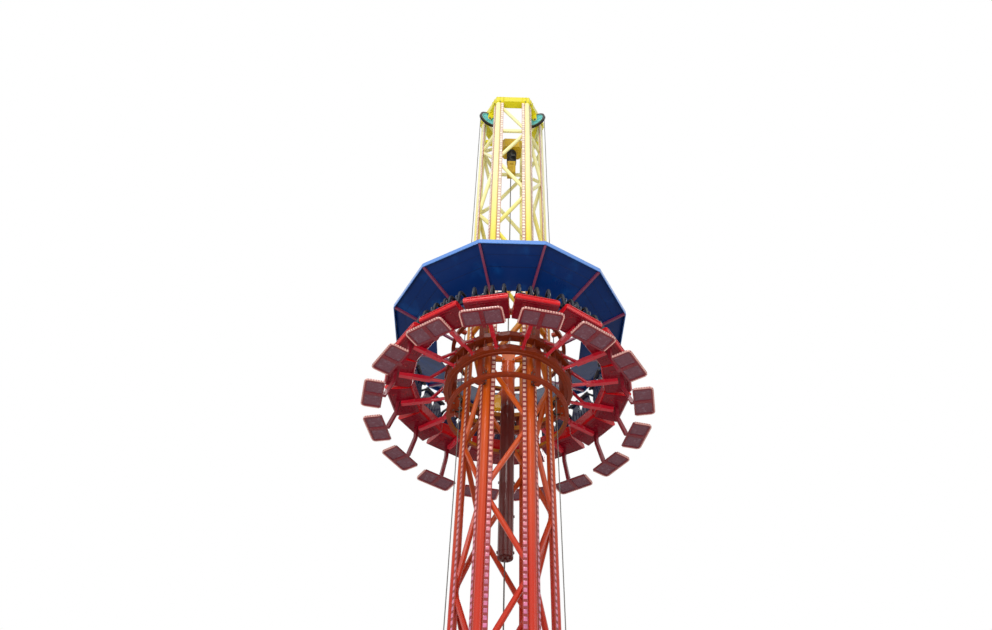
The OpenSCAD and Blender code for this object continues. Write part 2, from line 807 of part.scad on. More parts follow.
base_frame();
for (i = [1:columns]) column(i);
for (i = [1:faces]) lattice_side(i);
head_frame();
sheave_brackets();
tail_sheaves();
hoist_ropes();
winch_beam();
winch_housing();
winch_motor();
brake_housing();
junction_box();
for (i = [1:ropes]) head_sheave(i);
counterweight();
weight_yoke();
carriage_posts();
carriage_rings();
guide_wheels();
rope_clamps();
seat_arms();
seat_shells();
seat_backs();
seat_cushions();
restraints();
footrest_struts();
footrest_frames();
tread_plates();
light_rims();
canopy_panels();
canopy_ribs();
canopy_fascia();
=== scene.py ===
"""Drop tower ride: finishes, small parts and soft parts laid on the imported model, and the stage that shows it."""
import math
from functools import partialmethod

import bpy
import numpy as np
from mathutils import Matrix, Vector


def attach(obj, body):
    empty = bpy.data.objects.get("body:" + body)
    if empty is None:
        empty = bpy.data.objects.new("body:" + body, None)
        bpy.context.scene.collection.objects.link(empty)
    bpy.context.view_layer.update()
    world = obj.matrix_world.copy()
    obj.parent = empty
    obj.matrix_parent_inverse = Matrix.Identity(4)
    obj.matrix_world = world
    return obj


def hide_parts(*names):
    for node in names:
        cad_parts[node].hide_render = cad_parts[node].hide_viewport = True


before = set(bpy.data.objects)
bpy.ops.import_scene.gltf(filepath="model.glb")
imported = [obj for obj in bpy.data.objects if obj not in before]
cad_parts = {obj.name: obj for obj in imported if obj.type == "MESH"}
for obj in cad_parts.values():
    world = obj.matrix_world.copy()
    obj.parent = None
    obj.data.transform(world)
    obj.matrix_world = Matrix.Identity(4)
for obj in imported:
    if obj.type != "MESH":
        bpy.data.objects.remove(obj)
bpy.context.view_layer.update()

bl_info = {
    "name": "Drop tower ride",
    "version": (1, 0, 0),
    "blender": (4, 5, 0),
    "location": "View3D > Sidebar > Drop Tower",
    "description": "Finishes and small parts for a drop tower ride with a ring gondola",
    "category": "Add Mesh",
}

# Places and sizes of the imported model, in metres
FOOT_Z = 13.3
COLUMN_R, COLUMN_RADIUS, COLUMN_TOP = 0.91, 0.085, 25.65
FACE_R, FACE_HALF, BAR_END = 0.7881, 0.455, 0.3697
DIAGONAL_RISE, DIAGONAL_D, LEVEL_D = 1.655, 0.11, 0.12
FIRST_NODE, SECTION, TOP_JOINT = 0.83, 8.275, 24.0
CHANNEL_OUT, CHANNEL_MID, CHANNEL_LOW = 0.8591, 0.333, 0.35
BASE_TOP, ANCHOR_R = 0.05, 1.15
HEAD_FACE, HEAD_LOW, HEAD_MIDDLE = 0.9093, 25.65, 25.79
SHEAVE_R, SHEAVE_Z, TAIL_Z, STAND_R = 0.87, 25.30, 0.40, 0.788
CHEEK_OUT, GROOVE_R = 0.054, 0.3
HOUSING_LOW, BEAM_LOW = 24.02, 24.5
MOTOR_LOW, MOTOR_TOP, BRAKE_LOW = 23.35, 24.02, 22.75
BOX_MIDDLE = (-0.2575, 0.6576, 14.2)
WEIGHT_LOW, WEIGHT_TOP = 9.8, 14.8
POST_IN, WHEEL_X = 1.1493, 1.0643
WHEEL_HEIGHTS = (0.10, 0.37, 1.53, 1.80)
HUB_R, HUB_LOW, HUB_HIGH, HUB_BAND = 1.42, 0.6, 1.0, 0.12
SEAT_H, SHELL_T, SHELL_BACK, SHELL_LONG = 0.7, 0.034, 2.11, 0.63
BAY_Y, CUSHION_R, BACK_FRONT = 0.193, 2.4515, 2.2193
FOOT_OUT, FOOT_HALF, FOOT_T = 3.13, 0.405, 0.036
TREAD_R, TREAD_Y = 2.925, 0.2075
CANOPY_OUT, CANOPY_IN, CANOPY_Z, CANOPY_SLOPE = 2.7046, 1.7, 15.9, 0.4617
RIB_OUT, RIB_SLOPE = 2.8, 0.446

# Heights over which the tower's colours, partly paint and partly painted light, and its lamps go from their low
# colours to their high ones
PAINT_AND_LIGHT_SPAN, LAMP_SPAN = 27.0, 26.0

# Frames for which a pad is blown up as cloth, and the pressure in a cushion
CLOTH_STEPS, PRESSURE = 20, 4.0


def paint(red, green, blue):
    """Linear colour of a paint given in 0 to 255."""
    parts = np.array([red, green, blue]) / 255
    return tuple(float(x) for x in np.where(parts <= 0.04045, parts / 12.92, ((parts + 0.055) / 1.055) ** 2.4))


# Shapes

class Shape:
    """A surface being worked out: points, and faces as one array of point numbers for each corner count."""

    def __init__(self, points, faces):
        self.points = np.asarray(points, float).reshape(-1, 3)
        self.faces = faces

    def __add__(self, other):
        return Shape(np.concatenate([self.points, other.points]),
                     self.faces + [f + len(self.points) for f in other.faces])

    def moved(self, matrix):
        """Every point p goes to matrix * p."""
        matrix = np.asarray(matrix)
        return Shape(self.points @ matrix[:3, :3].T + matrix[:3, 3], self.faces)

    def repeated(self, matrices):
        """One copy for each matrix: copy k has the points matrix_k * p."""
        matrices = np.asarray(matrices).reshape(-1, 4, 4)
        points = np.einsum("kij,pj->kpi", matrices[:, :3, :3], self.points) + matrices[:, None, :3, 3]
        start = len(self.points) * np.arange(len(matrices))[:, None, None]
        return Shape(points, [(f[None] + start).reshape(-1, f.shape[1]) for f in self.faces])

    def outward(self):
        """Turns the faces round if the volume that they enclose, the sum of a . (b x c) / 6, is negative."""
        volume = 0.0
        for f in self.faces:
            corners = self.points[f]
            for k in range(1, f.shape[1] - 1):
                volume += np.sum(corners[:, 0] * np.cross(corners[:, k], corners[:, k + 1]))
        return self if volume >= 0 else Shape(self.points, [f[:, ::-1] for f in self.faces])


def skin(rings, loop=False):
    """Closed surface over a stack of rings of points: quads between neighbours, and a face over each end unless the
    stack joins up in a loop."""
    rings = np.asarray(rings, float)
    count, sides = rings.shape[:2]
    k, j = np.meshgrid(np.arange(count if loop else count - 1), np.arange(sides), indexing="ij")
    k2, j2 = (k + 1) % count, (j + 1) % sides
    faces = [np.stack([k * sides + j, k * sides + j2, k2 * sides + j2, k2 * sides + j], -1).reshape(-1, 4)]
    if not loop:
        ends = np.arange(sides)
        faces += [ends[None, ::-1], (count - 1) * sides + ends[None]]
    return Shape(rings, faces).outward()


def power(value, exponent):
    """Sign of the value times its size to the exponent."""
    return np.sign(value) * np.abs(value) ** exponent


def circle(radius, sides, squash=1.0, square=1.0):
    """Points (r cos a, r k sin a) for a over a full turn; a square under 1 squares the circle off."""
    a = 2 * np.pi * (np.arange(sides) + 0.5) / sides
    return radius * np.stack([power(np.cos(a), square), squash * power(np.sin(a), square)], -1)


def level_ring(radius, sides, height):
    """The points of a circle at one height."""
    return np.column_stack([circle(radius, sides), np.full(sides, height)])


def welded_ring(radius, sides, height, bead, bead_sides):
    """Bead of weld that runs level round a circle."""
    return sweep(level_ring(radius, sides, height), circle(bead, bead_sides), loop=True)


def lathe(profile, sides=24):
    """Surface of revolution about Z: ring k is (r_k cos a, r_k sin a, z_k)."""
    return skin([level_ring(r, sides, z) for r, z in profile])


def block(x, y, z, edge=0.004):
    """Block with its base on z 0 and all its edges cut off by a small slope: rings of eight points at four
    heights."""
    def ring(inset, height):
        a, b, e = x / 2 - inset, y / 2 - inset, edge
        return [(a, b - e, height), (a - e, b, height), (e - a, b, height), (-a, b - e, height),
                (-a, e - b, height), (e - a, -b, height), (a - e, -b, height), (a, e - b, height)]
    return skin([ring(edge, 0), ring(0, edge), ring(0, z - edge), ring(edge, z)])


def bolt(flats=0.024, height=0.015, washer=0.004):
    """Bolt head standing on z 0: a six-sided head with its corners worn round, on a washer."""
    r = flats / 2 / math.cos(math.pi / 6)
    low = washer * 0.8
    return (lathe([(flats * 0.85, -0.001), (flats * 0.85, washer * 0.6), (flats * 0.78, washer)], 12)
            + lathe([(r, low), (r, height * 0.8), (r * 0.85, height)], 6))


def sweep(path, section, loop=False, up=(0, 0, 1)):
    """Carries a closed section along a path: point (k, j) is path_k + s_j0 * side_k + s_j1 * over_k, where side is
    square to the path and to up, and over is square to both. The section may differ from place to place."""
    path = np.asarray(path, float)
    if loop:
        along = np.roll(path, -1, 0) - np.roll(path, 1, 0)
    else:
        along = np.gradient(path, axis=0)
    along /= np.linalg.norm(along, axis=1)[:, None]
    side = np.cross(np.asarray(up, float), along)
    side /= np.linalg.norm(side, axis=1)[:, None]
    over = np.cross(along, side)
    section = np.broadcast_to(section, (len(path),) + np.shape(section)[-2:])
    return skin(path[:, None] + section[..., :1] * side[:, None] + section[..., 1:] * over[:, None], loop)


def curve(points, steps, loop=False):
    """Smooth path through the points: on each leg p(t) is the Catmull-Rom cubic of the four points round it."""
    p = np.asarray(points, float)
    if loop:
        before, after, last = np.roll(p, 1, 0), np.roll(p, -1, 0), np.roll(p, -2, 0)
    else:
        padded = np.concatenate([[2 * p[0] - p[1]], p, [2 * p[-1] - p[-2]]])
        before, p, after, last = padded[:-3], padded[1:-2], padded[2:-1], padded[3:]
    t = (np.arange(steps) / steps)[None, :, None]
    b, p, a, c = before[:, None], p[:, None], after[:, None], last[:, None]
    path = 0.5 * (2 * p + (a - b) * t + (2 * b - 5 * p + 4 * a - c) * t ** 2 + (3 * p - b - 3 * a + c) * t ** 3)
    path = path.reshape(-1, 3)
    return path if loop else np.concatenate([path, [after[-1]]])


def pillow(length, width, thick, square, edge, rows, sides):
    """Crowned pad lying on the XY plane: x = l c(v) c(u), y = w c(v) s(u), z = t s(v) with the sines and cosines
    raised to a power, u round the pad and v from its underside to its crown."""
    v = np.linspace(-0.47, 0.47, rows)[:, None] * np.pi
    u = 2 * np.pi * np.arange(sides)[None] / sides
    flat = power(np.cos(v), edge)
    x = length / 2 * flat * power(np.cos(u), square)
    y = width / 2 * flat * power(np.sin(u), square)
    z = thick / 2 * power(np.sin(v), 0.8) * np.ones_like(u)
    return skin(np.stack([x, y, z], -1))


def inflated(shape, pressure, cap):
    """The shape blown up as sewn cloth: p = p0 + d * min(1, cap / |d|), where d is how far the cloth moved p0."""
    trial = mesh_object("cloth_trial", shape)
    cloth = trial.modifiers.new("Cloth", "CLOTH").settings
    for name, value in (("quality", 6), ("mass", 0.3), ("tension_stiffness", 12), ("compression_stiffness", 12),
                        ("shear_stiffness", 5), ("bending_stiffness", 0.4), ("use_pressure", True),
                        ("uniform_pressure_force", pressure)):
        setattr(cloth, name, value)
    cloth.effector_weights.gravity = 0
    for step in range(1, CLOTH_STEPS + 1):
        bpy.context.scene.frame_set(step)
    puffed = trial.evaluated_get(bpy.context.evaluated_depsgraph_get()).data
    points = np.zeros(len(puffed.vertices) * 3, np.float32)
    puffed.vertices.foreach_get("co", points)
    moved = points.reshape(-1, 3) - shape.points
    far = np.maximum(np.linalg.norm(moved, axis=1), 1e-9)[:, None]
    bpy.context.scene.frame_set(1)
    bpy.data.objects.remove(trial)
    return Shape(shape.points + moved * np.minimum(1, cap / far), shape.faces)


# Places

def stack(rows, *shifts):
    """Matrices with these rows of numbers, one for each entry of the arrays in them."""
    parts = np.broadcast_arrays(*[np.asarray(x, float) for row in rows for x in row], *shifts)
    whole = np.zeros(parts[0].shape + (4, 4))
    for k in range(9):
        whole[..., k // 3, k % 3] = parts[k]
    for k in range(3):
        whole[..., k, 3] = parts[9 + k]
    whole[..., 3, 3] = 1
    return whole


def move(x=0.0, y=0.0, z=0.0):
    """Shift by x, y and z, any of which may be an array of places."""
    return stack([(1, 0, 0), (0, 1, 0), (0, 0, 1)], x, y, z)


def rows(*values):
    """Values as a column, which makes a grid of places with another row of them."""
    return np.array(values)[:, None]


def spin(degrees):
    """Turn about Z: (x cos a - y sin a, x sin a + y cos a, z)."""
    a = np.radians(degrees)
    return stack([(np.cos(a), -np.sin(a), 0), (np.sin(a), np.cos(a), 0), (0, 0, 1)], 0.0, 0.0, 0.0)


def lean(degrees):
    """Turn about Y: (x cos a + z sin a, y, z cos a - x sin a). Z goes to X at 90 degrees."""
    a = np.radians(degrees)
    return stack([(np.cos(a), 0, np.sin(a)), (0, 1, 0), (-np.sin(a), 0, np.cos(a))], 0.0, 0.0, 0.0)


def roll(degrees):
    """Turn about X: (x, y cos a - z sin a, y sin a + z cos a). Z goes to -Y at 90 degrees."""
    a = np.radians(degrees)
    return stack([(1, 0, 0), (0, np.cos(a), -np.sin(a)), (0, np.sin(a), np.cos(a))], 0.0, 0.0, 0.0)


FACES = spin(30 + 60 * np.arange(6))
COLUMNS = spin(60 * np.arange(6))
ROPES = spin(210 + 120 * np.arange(3))
MODULES = spin(11.25 + 22.5 * np.arange(16)) @ move(z=FOOT_Z)
BAYS = MODULES[:, None] @ move(y=np.array([-BAY_Y, BAY_Y]))
PANELS = spin(30 * np.arange(12))
RIBS = spin(15 + 30 * np.arange(12))
BOTH = np.array([-1.0, 1.0])
PAIR = BOTH[:, None]
CORNERS = np.array([(1, 1), (-1, 1), (-1, -1), (1, -1)])
OUTWARD, OVER = lean(90), roll(180)
SIDEWAYS = np.stack([roll(90), roll(-90)])
OPPOSITE = np.stack([spin(0), spin(180)])


def mesh_object(name, shape):
    """A mesh object at the origin that holds the shape."""
    mesh = bpy.data.meshes.new(name)
    mesh.from_pydata(shape.points.tolist(), [], [face for f in shape.faces for face in f.tolist()])
    made = bpy.data.objects.new(name, mesh)
    bpy.context.scene.collection.objects.link(made)
    return made


def new_piece(name, shape, body, finish, sharp=35):
    """A piece of the ride: the shape as an object with its finish, riding on a body. Edges bent by more than the
    sharp angle, in degrees, stay crisp."""
    made = mesh_object(name, shape)
    made.data.materials.append(finish)
    made.data.shade_smooth()
    made.data.set_sharp_from_angle(angle=math.radians(sharp))
    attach(made, body)
    return made


# Finishes

class Wire:
    """One socket of a material's nodes. Operators on it add Math nodes, so an expression reads as its formula."""

    def __init__(self, tree, socket=None):
        self.tree, self.socket = tree, socket

    def node(self, kind, values=None, output=0, stops=None, **settings):
        """Adds a node: first its settings and a ramp's stops, then the values or wires of its sockets."""
        made = self.tree.nodes.new(kind)
        for name, value in settings.items():
            setattr(made, name, value)
        if stops:
            for position, _ in stops[2:]:
                made.color_ramp.elements.new(position)
            for element, (position, colour) in zip(made.color_ramp.elements, stops):
                element.position = position
                element.color = (*colour, 1.0)
        for name, value in (values or {}).items():
            if isinstance(value, Wire):
                self.tree.links.new(value.socket, made.inputs[name])
            elif isinstance(value, tuple) and made.inputs[name].type == "RGBA":
                made.inputs[name].default_value = (*value, 1.0)
            else:
                made.inputs[name].default_value = value
        return Wire(self.tree, made.outputs[output] if made.outputs else None)

    def maths(self, operation, *others):
        """Operation on this wire and the others, this one first."""
        return self.node("ShaderNodeMath", dict(enumerate((self,) + others)), operation=operation)

    def reflected(self, operation, first):
        """The same with this wire second, as in 1 - mask."""
        return self.node("ShaderNodeMath", {0: first, 1: self}, operation=operation)

    __add__ = __radd__ = partialmethod(maths, "ADD")
    __mul__ = __rmul__ = partialmethod(maths, "MULTIPLY")
    __sub__ = partialmethod(maths, "SUBTRACT")
    __rsub__ = partialmethod(reflected, "SUBTRACT")
    __truediv__ = partialmethod(maths, "DIVIDE")
    __pow__ = partialmethod(maths, "POWER")
    __mod__ = partialmethod(maths, "FLOORED_MODULO")
    __gt__ = partialmethod(maths, "GREATER_THAN")
    __lt__ = partialmethod(maths, "LESS_THAN")
    __neg__ = partialmethod(maths, "MULTIPLY", -1.0)
    __abs__ = partialmethod(maths, "ABSOLUTE")
    least = partialmethod(maths, "MINIMUM")
    most = partialmethod(maths, "MAXIMUM")
    sine = partialmethod(maths, "SINE")

    def fade(self, low, high):
        """0 below low, 1 above high, and smooth between them."""
        return self.node("ShaderNodeMapRange", {0: self, 1: low, 2: high}, interpolation_type="SMOOTHSTEP")

    def ramp(self, *stops):
        """Colour that goes through the stops, each a value and a colour."""
        return self.node("ShaderNodeValToRGB", {0: self}, stops=stops)


FINISHES = {}


class Finish:
    """A finish being mixed: the piece's own coordinates as wires, and the patterns that are used again and again."""

    def __init__(self, name):
        self.material = FINISHES[name] = bpy.data.materials.new(name)
        self.material.use_nodes = True
        self.tree = self.material.node_tree
        self.tree.nodes.clear()
        start = Wire(self.tree)
        self.node = start.node
        self.place = self.node("ShaderNodeTexCoord", output="Object")
        self.x, self.y, self.z = (self.node("ShaderNodeSeparateXYZ", {0: self.place}, output=k) for k in range(3))
        self.away = (self.x * self.x + self.y * self.y) ** 0.5
        self.normal = self.node("ShaderNodeNewGeometry", output="Normal")

    def facing(self, k):
        """Part k of the surface's normal: 0 and 1 across, 2 upwards."""
        return self.node("ShaderNodeSeparateXYZ", {0: self.normal}, output=k)

    def sector(self, step, offset=0.0):
        """Distances out along and across the nearest of the spokes that stand a step apart, in degrees:
        a = mod(angle - offset + step / 2, step) - step / 2, out = r cos a, across = r sin a."""
        half = math.radians(step) / 2
        turn = self.y.maths("ARCTAN2", self.x) - math.radians(offset) + half
        turn = turn % (2 * half) - half
        return self.away * turn.maths("COSINE"), self.away * turn.maths("SINE")

    def noise(self, scale, detail=3.0, stretch=(1.0, 1.0, 1.0), rough=0.5):
        """Cloudy pattern from 0 to 1, drawn out by the stretch along each axis."""
        place = self.place
        if stretch != (1.0, 1.0, 1.0):
            place = self.node("ShaderNodeVectorMath", {0: place, 1: stretch}, operation="MULTIPLY")
        return self.node("ShaderNodeTexNoise", {"Vector": place, "Scale": scale, "Detail": detail,
                                                "Roughness": rough})

    def cells(self, scale):
        """Distance to the nearest of scattered points."""
        return self.node("ShaderNodeTexVoronoi", {"Vector": self.place, "Scale": scale}, feature="F1")

    def dimmed(self, colour, share):
        """The colour times a number."""
        return self.node("ShaderNodeVectorMath", {0: colour, "Scale": share}, operation="SCALE")

    def mix(self, first, second, share):
        """Colour that goes from the first to the second as the share goes from 0 to 1."""
        return self.node("ShaderNodeMix", {0: share, 6: first, 7: second}, output=2, data_type="RGBA")

    def worn_edge(self, radius, sharp=0.6):
        """1 where the surface bends sharply within the radius, else 0, broken up by a cloudy pattern."""
        soft = self.node("ShaderNodeBevel", {0: radius}, samples=4)
        same = self.node("ShaderNodeVectorMath", {0: soft, 1: self.normal}, output=1, operation="DOT_PRODUCT")
        return (1 - same).fade(0.02, 0.16) * self.noise(14.0, 4.0).fade(sharp - 0.12, sharp + 0.06)

    def shade(self, colour, roughness=0.4, height=None, lift=0.001, metallic=0.0, coat=0.0, round_edge=0.0,
              glow_strength=0.0, coat_roughness=0.06, specular=0.5):
        """Joins what was mixed to the surface and returns the material. Height is a pattern of 0 to 1 that stands out
        by the lift, round_edge the radius that sharp edges seem to have, and a glow has the surface's own colour."""
        values = {"Base Color": colour, "Roughness": roughness, "Metallic": metallic, "Coat Weight": coat,
                  "Coat Roughness": coat_roughness, "Specular IOR Level": specular}
        normal = self.node("ShaderNodeBevel", {0: round_edge}, samples=4) if round_edge else None
        if height is not None:
            bump = {"Height": height, "Distance": lift, "Strength": 1.0}
            if normal:
                bump["Normal"] = normal
            normal = self.node("ShaderNodeBump", bump)
        if normal:
            values["Normal"] = normal
        if glow_strength:
            values.update({"Emission Color": colour, "Emission Strength": glow_strength})
        surface = self.node("ShaderNodeBsdfPrincipled", values)
        self.node("ShaderNodeOutputMaterial", {0: surface})
        return self.material


def wear(f, colour, dust=paint(150, 140, 130), amount=0.25):
    """Paint that has stood for years: broad clouds of darker tone, runs down it, and dust on top faces."""
    clouds = f.noise(1.7, 4.0)
    runs = f.noise(9.0, 3.0, (1.0, 1.0, 0.04)).fade(0.45, 0.8)
    shaded = f.mix(colour, f.dimmed(colour, 0.72),
                   (clouds * 0.6 + runs * 0.5) * amount * 2)
    return f.mix(shaded, dust, f.facing(2).fade(0.55, 0.95) * f.noise(6.0, 5.0).fade(0.35, 0.75) * amount)


def gloss_paint(name, colour, rough=0.32, radius=0.004, amount=0.2, chips=paint(70, 60, 55), coat=0.2):
    """Gloss machine paint: orange peel, clouds and runs, and chips along the edges."""
    f = Finish(name)
    look = wear(f, colour, amount=amount)
    look = f.mix(look, chips, f.worn_edge(radius * 1.6) * 0.75)
    rough_map = rough + f.noise(5.0, 4.0) * 0.18
    return f.shade(look, rough_map, height=f.noise(160.0, 2.0), lift=0.0004, coat=coat, round_edge=radius)


def finish_nodes(material, *names):
    """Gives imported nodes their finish."""
    for name in names:
        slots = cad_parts[name].data.materials
        slots.clear()
        slots.append(material)


def sizes():
    """The lengths of the panel."""
    return bpy.context.scene.drop_tower_sizes


def picked(name):
    """A colour of the panel as a plain triple."""
    return tuple(getattr(bpy.context.scene.drop_tower_colours, name))


def steel():
    """Zinc-plated steel with a light stain, shared by the fasteners."""
    if "bright_fastener" in FINISHES:
        return FINISHES["bright_fastener"]
    f = Finish("bright_fastener")
    stain = f.noise(30.0, 4.0)
    look = f.mix(paint(124, 120, 114), paint(86, 66, 50), stain.fade(0.55, 0.8))
    return f.shade(look, 0.36 + stain * 0.25, height=f.noise(220.0, 2.0), lift=0.0002, metallic=0.7)


# Settings

def colour_setting(label, default, note):
    """A colour of the panel, in linear light."""
    return bpy.props.FloatVectorProperty(name=label, description=note, subtype="COLOR", size=3, min=0.0, max=1.0,
                                         default=default)


def length_setting(label, default, note):
    """A length of the panel, in metres."""
    return bpy.props.FloatProperty(name=label, description=note, default=default, min=0.0005, unit="LENGTH")


class DropTowerColours(bpy.types.PropertyGroup):
    """Colours of the paints and mouldings"""
    # Tower low and high and the channels' high colour are partly painted light: warm light low down, glare at the
    # head
    tower_low_lit: colour_setting("Tower, low", paint(192, 42, 12), "Paint of the columns near the ground")
    tower_mid: colour_setting("Tower, middle", paint(214, 96, 14), "Paint of the columns at the gondola")
    tower_high_glare: colour_setting("Tower, high", paint(254, 249, 184), "Paint of the columns at the head")
    channel: colour_setting("Light channel", paint(142, 52, 54), "Paint of the lamps' channels, low")
    channel_high_glare: colour_setting("Light channel, high", paint(206, 176, 168), "Paint of the channels at the head")
    lamp_low: colour_setting("Lamps, low", paint(196, 104, 164), "Lamp colour near the ground")
    lamp_high: colour_setting("Lamps, high", paint(255, 240, 214), "Lamp colour at the head")
    base: colour_setting("Base", paint(150, 44, 22), "Paint of the base plate")
    head: colour_setting("Head", paint(238, 226, 34), "Paint of the head frame")
    sheave: colour_setting("Sheave", paint(112, 204, 204), "Paint of the sheaves' discs")
    machine: colour_setting("Machine", paint(218, 178, 16), "Paint of the hoist housings")
    # The counterweight's dark red is partly painted shade, below the painted light at its top
    weight: colour_setting("Weight", paint(96, 22, 14), "Paint of the counterweight")
    carriage: colour_setting("Carriage", paint(142, 48, 8), "Paint of the carriage rings and posts")
    arm: colour_setting("Arms", paint(206, 20, 44), "Paint of the seat arms")
    shell: colour_setting("Seat shell", paint(214, 14, 24), "Moulded seat shell")
    back: colour_setting("Seat back", paint(8, 26, 84), "Moulded seat back")
    pad: colour_setting("Pads", paint(13, 18, 34), "Vinyl of the cushions and pads")
    strut: colour_setting("Footrest frame", paint(128, 12, 32), "Paint of struts and footrest frames")
    tread: colour_setting("Tread plates", paint(142, 88, 100), "Finish of the tread plates")
    canopy: colour_setting("Canopy", paint(0, 40, 100), "Paint of the canopy panels")
    rib: colour_setting("Canopy ribs", paint(126, 44, 80), "Paint of the canopy ribs")
    fascia: colour_setting("Fascia", paint(78, 136, 216), "Paint of the canopy's edge")


class DropTowerSizes(bpy.types.PropertyGroup):
    """Sizes of the small parts"""
    lamp_pitch: length_setting("Lamp pitch", 0.13, "Distance from one channel lamp to the next")
    lamp_width: length_setting("Lamp width", 0.066, "Width of a channel lamp")
    lamp_height: length_setting("Lamp height", 0.078, "Height of a channel lamp")
    rim_pitch: length_setting("Rim lamp pitch", 0.055, "Distance from one footrest lamp to the next")
    stud: length_setting("Tread stud", 0.013, "Diameter of the raised studs of a tread plate")
    stud_pitch: length_setting("Stud pitch", 0.034, "Distance between the rows of studs")
    weld: length_setting("Weld bead", 0.008, "Radius of a weld bead")
    bead: length_setting("Shell bead", 0.019, "Radius of the rolled edge of a seat shell")
    pad: length_setting("Pad thickness", 0.05, "Thickness of a back pad")
    fin: length_setting("Motor fin", 0.022, "Height of the motor's cooling fins")


# Stage

CAMERA_PLACE = (-0.2426, -13.661, 1.583)
CAMERA_YAW, CAMERA_PITCH, CAMERA_ROLL = -0.329, 47.493, 1.885
CAMERA_LENS, SENSOR = 29.83, 36.0
WORLD_LIGHT = 0.42
FLOOR_Z, FLOOR_RINGS = -0.002, 0.5 * 1.32 ** np.arange(19)
# Name, place, height on the tower that it is aimed at, side and power
LAMPS = (("key_lamp", (-11, -16, 9), 14.5, 9, 1500), ("fill_lamp", (14, -12, 14), 14.5, 10, 800),
         ("rim_lamp", (4, 16, 24), 14.5, 9, 900), ("low_lamp", (1, -11, 3.4), 14.5, 6, 270),
         ("head_lamp", (-3, -13, 24), 22.5, 7, 1000))


class DROPTOWER_OT_stage(bpy.types.Operator):
    """Makes the floor, the white surroundings, the soft lamps and the camera"""
    bl_idname = "drop_tower.stage"
    bl_label = "Stage"

    def execute(self, context):
        scene = context.scene
        scene.view_settings.view_transform = "Standard"
        self.floor()
        self.surroundings(scene)
        for name, place, aimed, side, watts in LAMPS:
            light = bpy.data.lights.new(name, "AREA")
            light.size, light.energy = side, watts
            lamp = bpy.data.objects.new(name, light)
            aim = Vector((0, 0, aimed)) - Vector(place)
            lamp.matrix_world = Matrix.Translation(place) @ aim.to_track_quat("-Z", "Y").to_matrix().to_4x4()
            scene.collection.objects.link(lamp)
        self.camera(scene)
        return {"FINISHED"}

    def floor(self):
        """Level disc whose rings have radius 0.5 * 1.32^k, with faint unevenness in its finish."""
        shape = skin([level_ring(r, 64, FLOOR_Z) for r in FLOOR_RINGS])
        shape.faces = shape.faces[:2]
        floor = mesh_object("floor", shape)
        f = Finish("pale_floor")
        look = f.mix(paint(226, 225, 222), paint(238, 237, 235), f.noise(0.8, 4.0))
        floor.data.materials.append(f.shade(look, 0.75 + f.noise(3.0) * 0.1))
        if sum(p.normal.z for p in floor.data.polygons) < 0:
            floor.data.flip_normals()

    def surroundings(self, scene):
        """Even soft light from all sides; seen straight or in a gloss, the surroundings are white."""
        scene.world = bpy.data.worlds.new("white_room")
        scene.world.use_nodes = True
        tree = scene.world.node_tree
        tree.nodes.clear()
        w = Wire(tree)
        seen, glossy, through = (w.node("ShaderNodeLightPath", output=f"Is {ray} Ray")
                                 for ray in ("Camera", "Glossy", "Transmission"))
        seen = seen.most(glossy).most(through)
        light = w.node("ShaderNodeBackground", {0: (1.0, 1.0, 1.0), 1: WORLD_LIGHT})
        white = w.node("ShaderNodeBackground", {0: (1.0, 1.0, 1.0), 1: 1.0})
        both = w.node("ShaderNodeMixShader", {0: seen, 1: light, 2: white})
        w.node("ShaderNodeOutputWorld", {0: both})

    def camera(self, scene):
        """Camera at the photograph's place: forward (sin yaw cos pitch, cos yaw cos pitch, sin pitch), rolled."""
        yaw, pitch, bank = (math.radians(a) for a in (CAMERA_YAW, CAMERA_PITCH, CAMERA_ROLL))
        forward = Vector((math.sin(yaw) * math.cos(pitch), math.cos(yaw) * math.cos(pitch), math.sin(pitch)))
        right = Vector((math.cos(yaw), -math.sin(yaw), 0))
        above = right.cross(forward)
        across = math.cos(bank) * right + math.sin(bank) * above
        upward = -math.sin(bank) * right + math.cos(bank) * above
        data = bpy.data.cameras.new("camera")
        data.lens, data.sensor_width = CAMERA_LENS, SENSOR
        data.clip_start, data.clip_end = 0.1, 400.0
        camera = bpy.data.objects.new("camera", data)
        axes = Matrix((across, upward, -forward)).transposed().to_4x4()
        camera.matrix_world = Matrix.Translation(CAMERA_PLACE) @ axes
        scene.collection.objects.link(camera)
        scene.camera = camera


# Tower

def tower_paint_and_light(name, with_channels):
    """Gloss paint that goes from red low down over orange to pale yellow at the head. The change is partly paint and
    partly painted light: the red low down is painted warm light, and the near-white at the head is painted glare. The
    light channels are dark red low down and pale at the head, where they too carry painted glare: they are where the
    distance out and across falls within their section."""
    f = Finish(name)
    low, mid, high = picked("tower_low_lit"), picked("tower_mid"), picked("tower_high_glare")
    blotch = f.noise(0.6, 3.0) * 0.03 - 0.015
    # Painted light: the colour by height puts warm light on the low columns and glare on the head
    look = (f.z / PAINT_AND_LIGHT_SPAN + blotch).ramp((0.0, low), (0.34, low), (0.52, mid), (0.6, paint(228, 150, 18)),
                                            (0.68, paint(246, 230, 84)), (0.8, high))
    look = wear(f, look, amount=0.18)
    chips = f.worn_edge(0.006)
    rough = 0.3 + f.noise(4.0, 4.0) * 0.16
    if with_channels:
        out, across = f.sector(60, 30)
        side = abs(across)
        channel = (out > FACE_R + 0.0495) * (side > CHANNEL_MID - 0.047) * (side < CHANNEL_MID + 0.046)
        groove = abs(side - CHANNEL_MID).fade(0.036, 0.042)
        # Painted glare: the channels turn pale towards the head
        strip = f.mix(picked("channel"), picked("channel_high_glare"), f.z.fade(15.5, 21.0))
        look = f.mix(look, f.mix(strip, paint(204, 92, 70), groove * 0.6), channel)
        rough = rough + channel * 0.15
    look = f.mix(look, paint(80, 60, 48), chips * 0.7)
    return f.shade(look, rough, height=f.noise(150.0, 2.0), lift=0.0004, coat=0.1, round_edge=0.006,
                   specular=0.35)


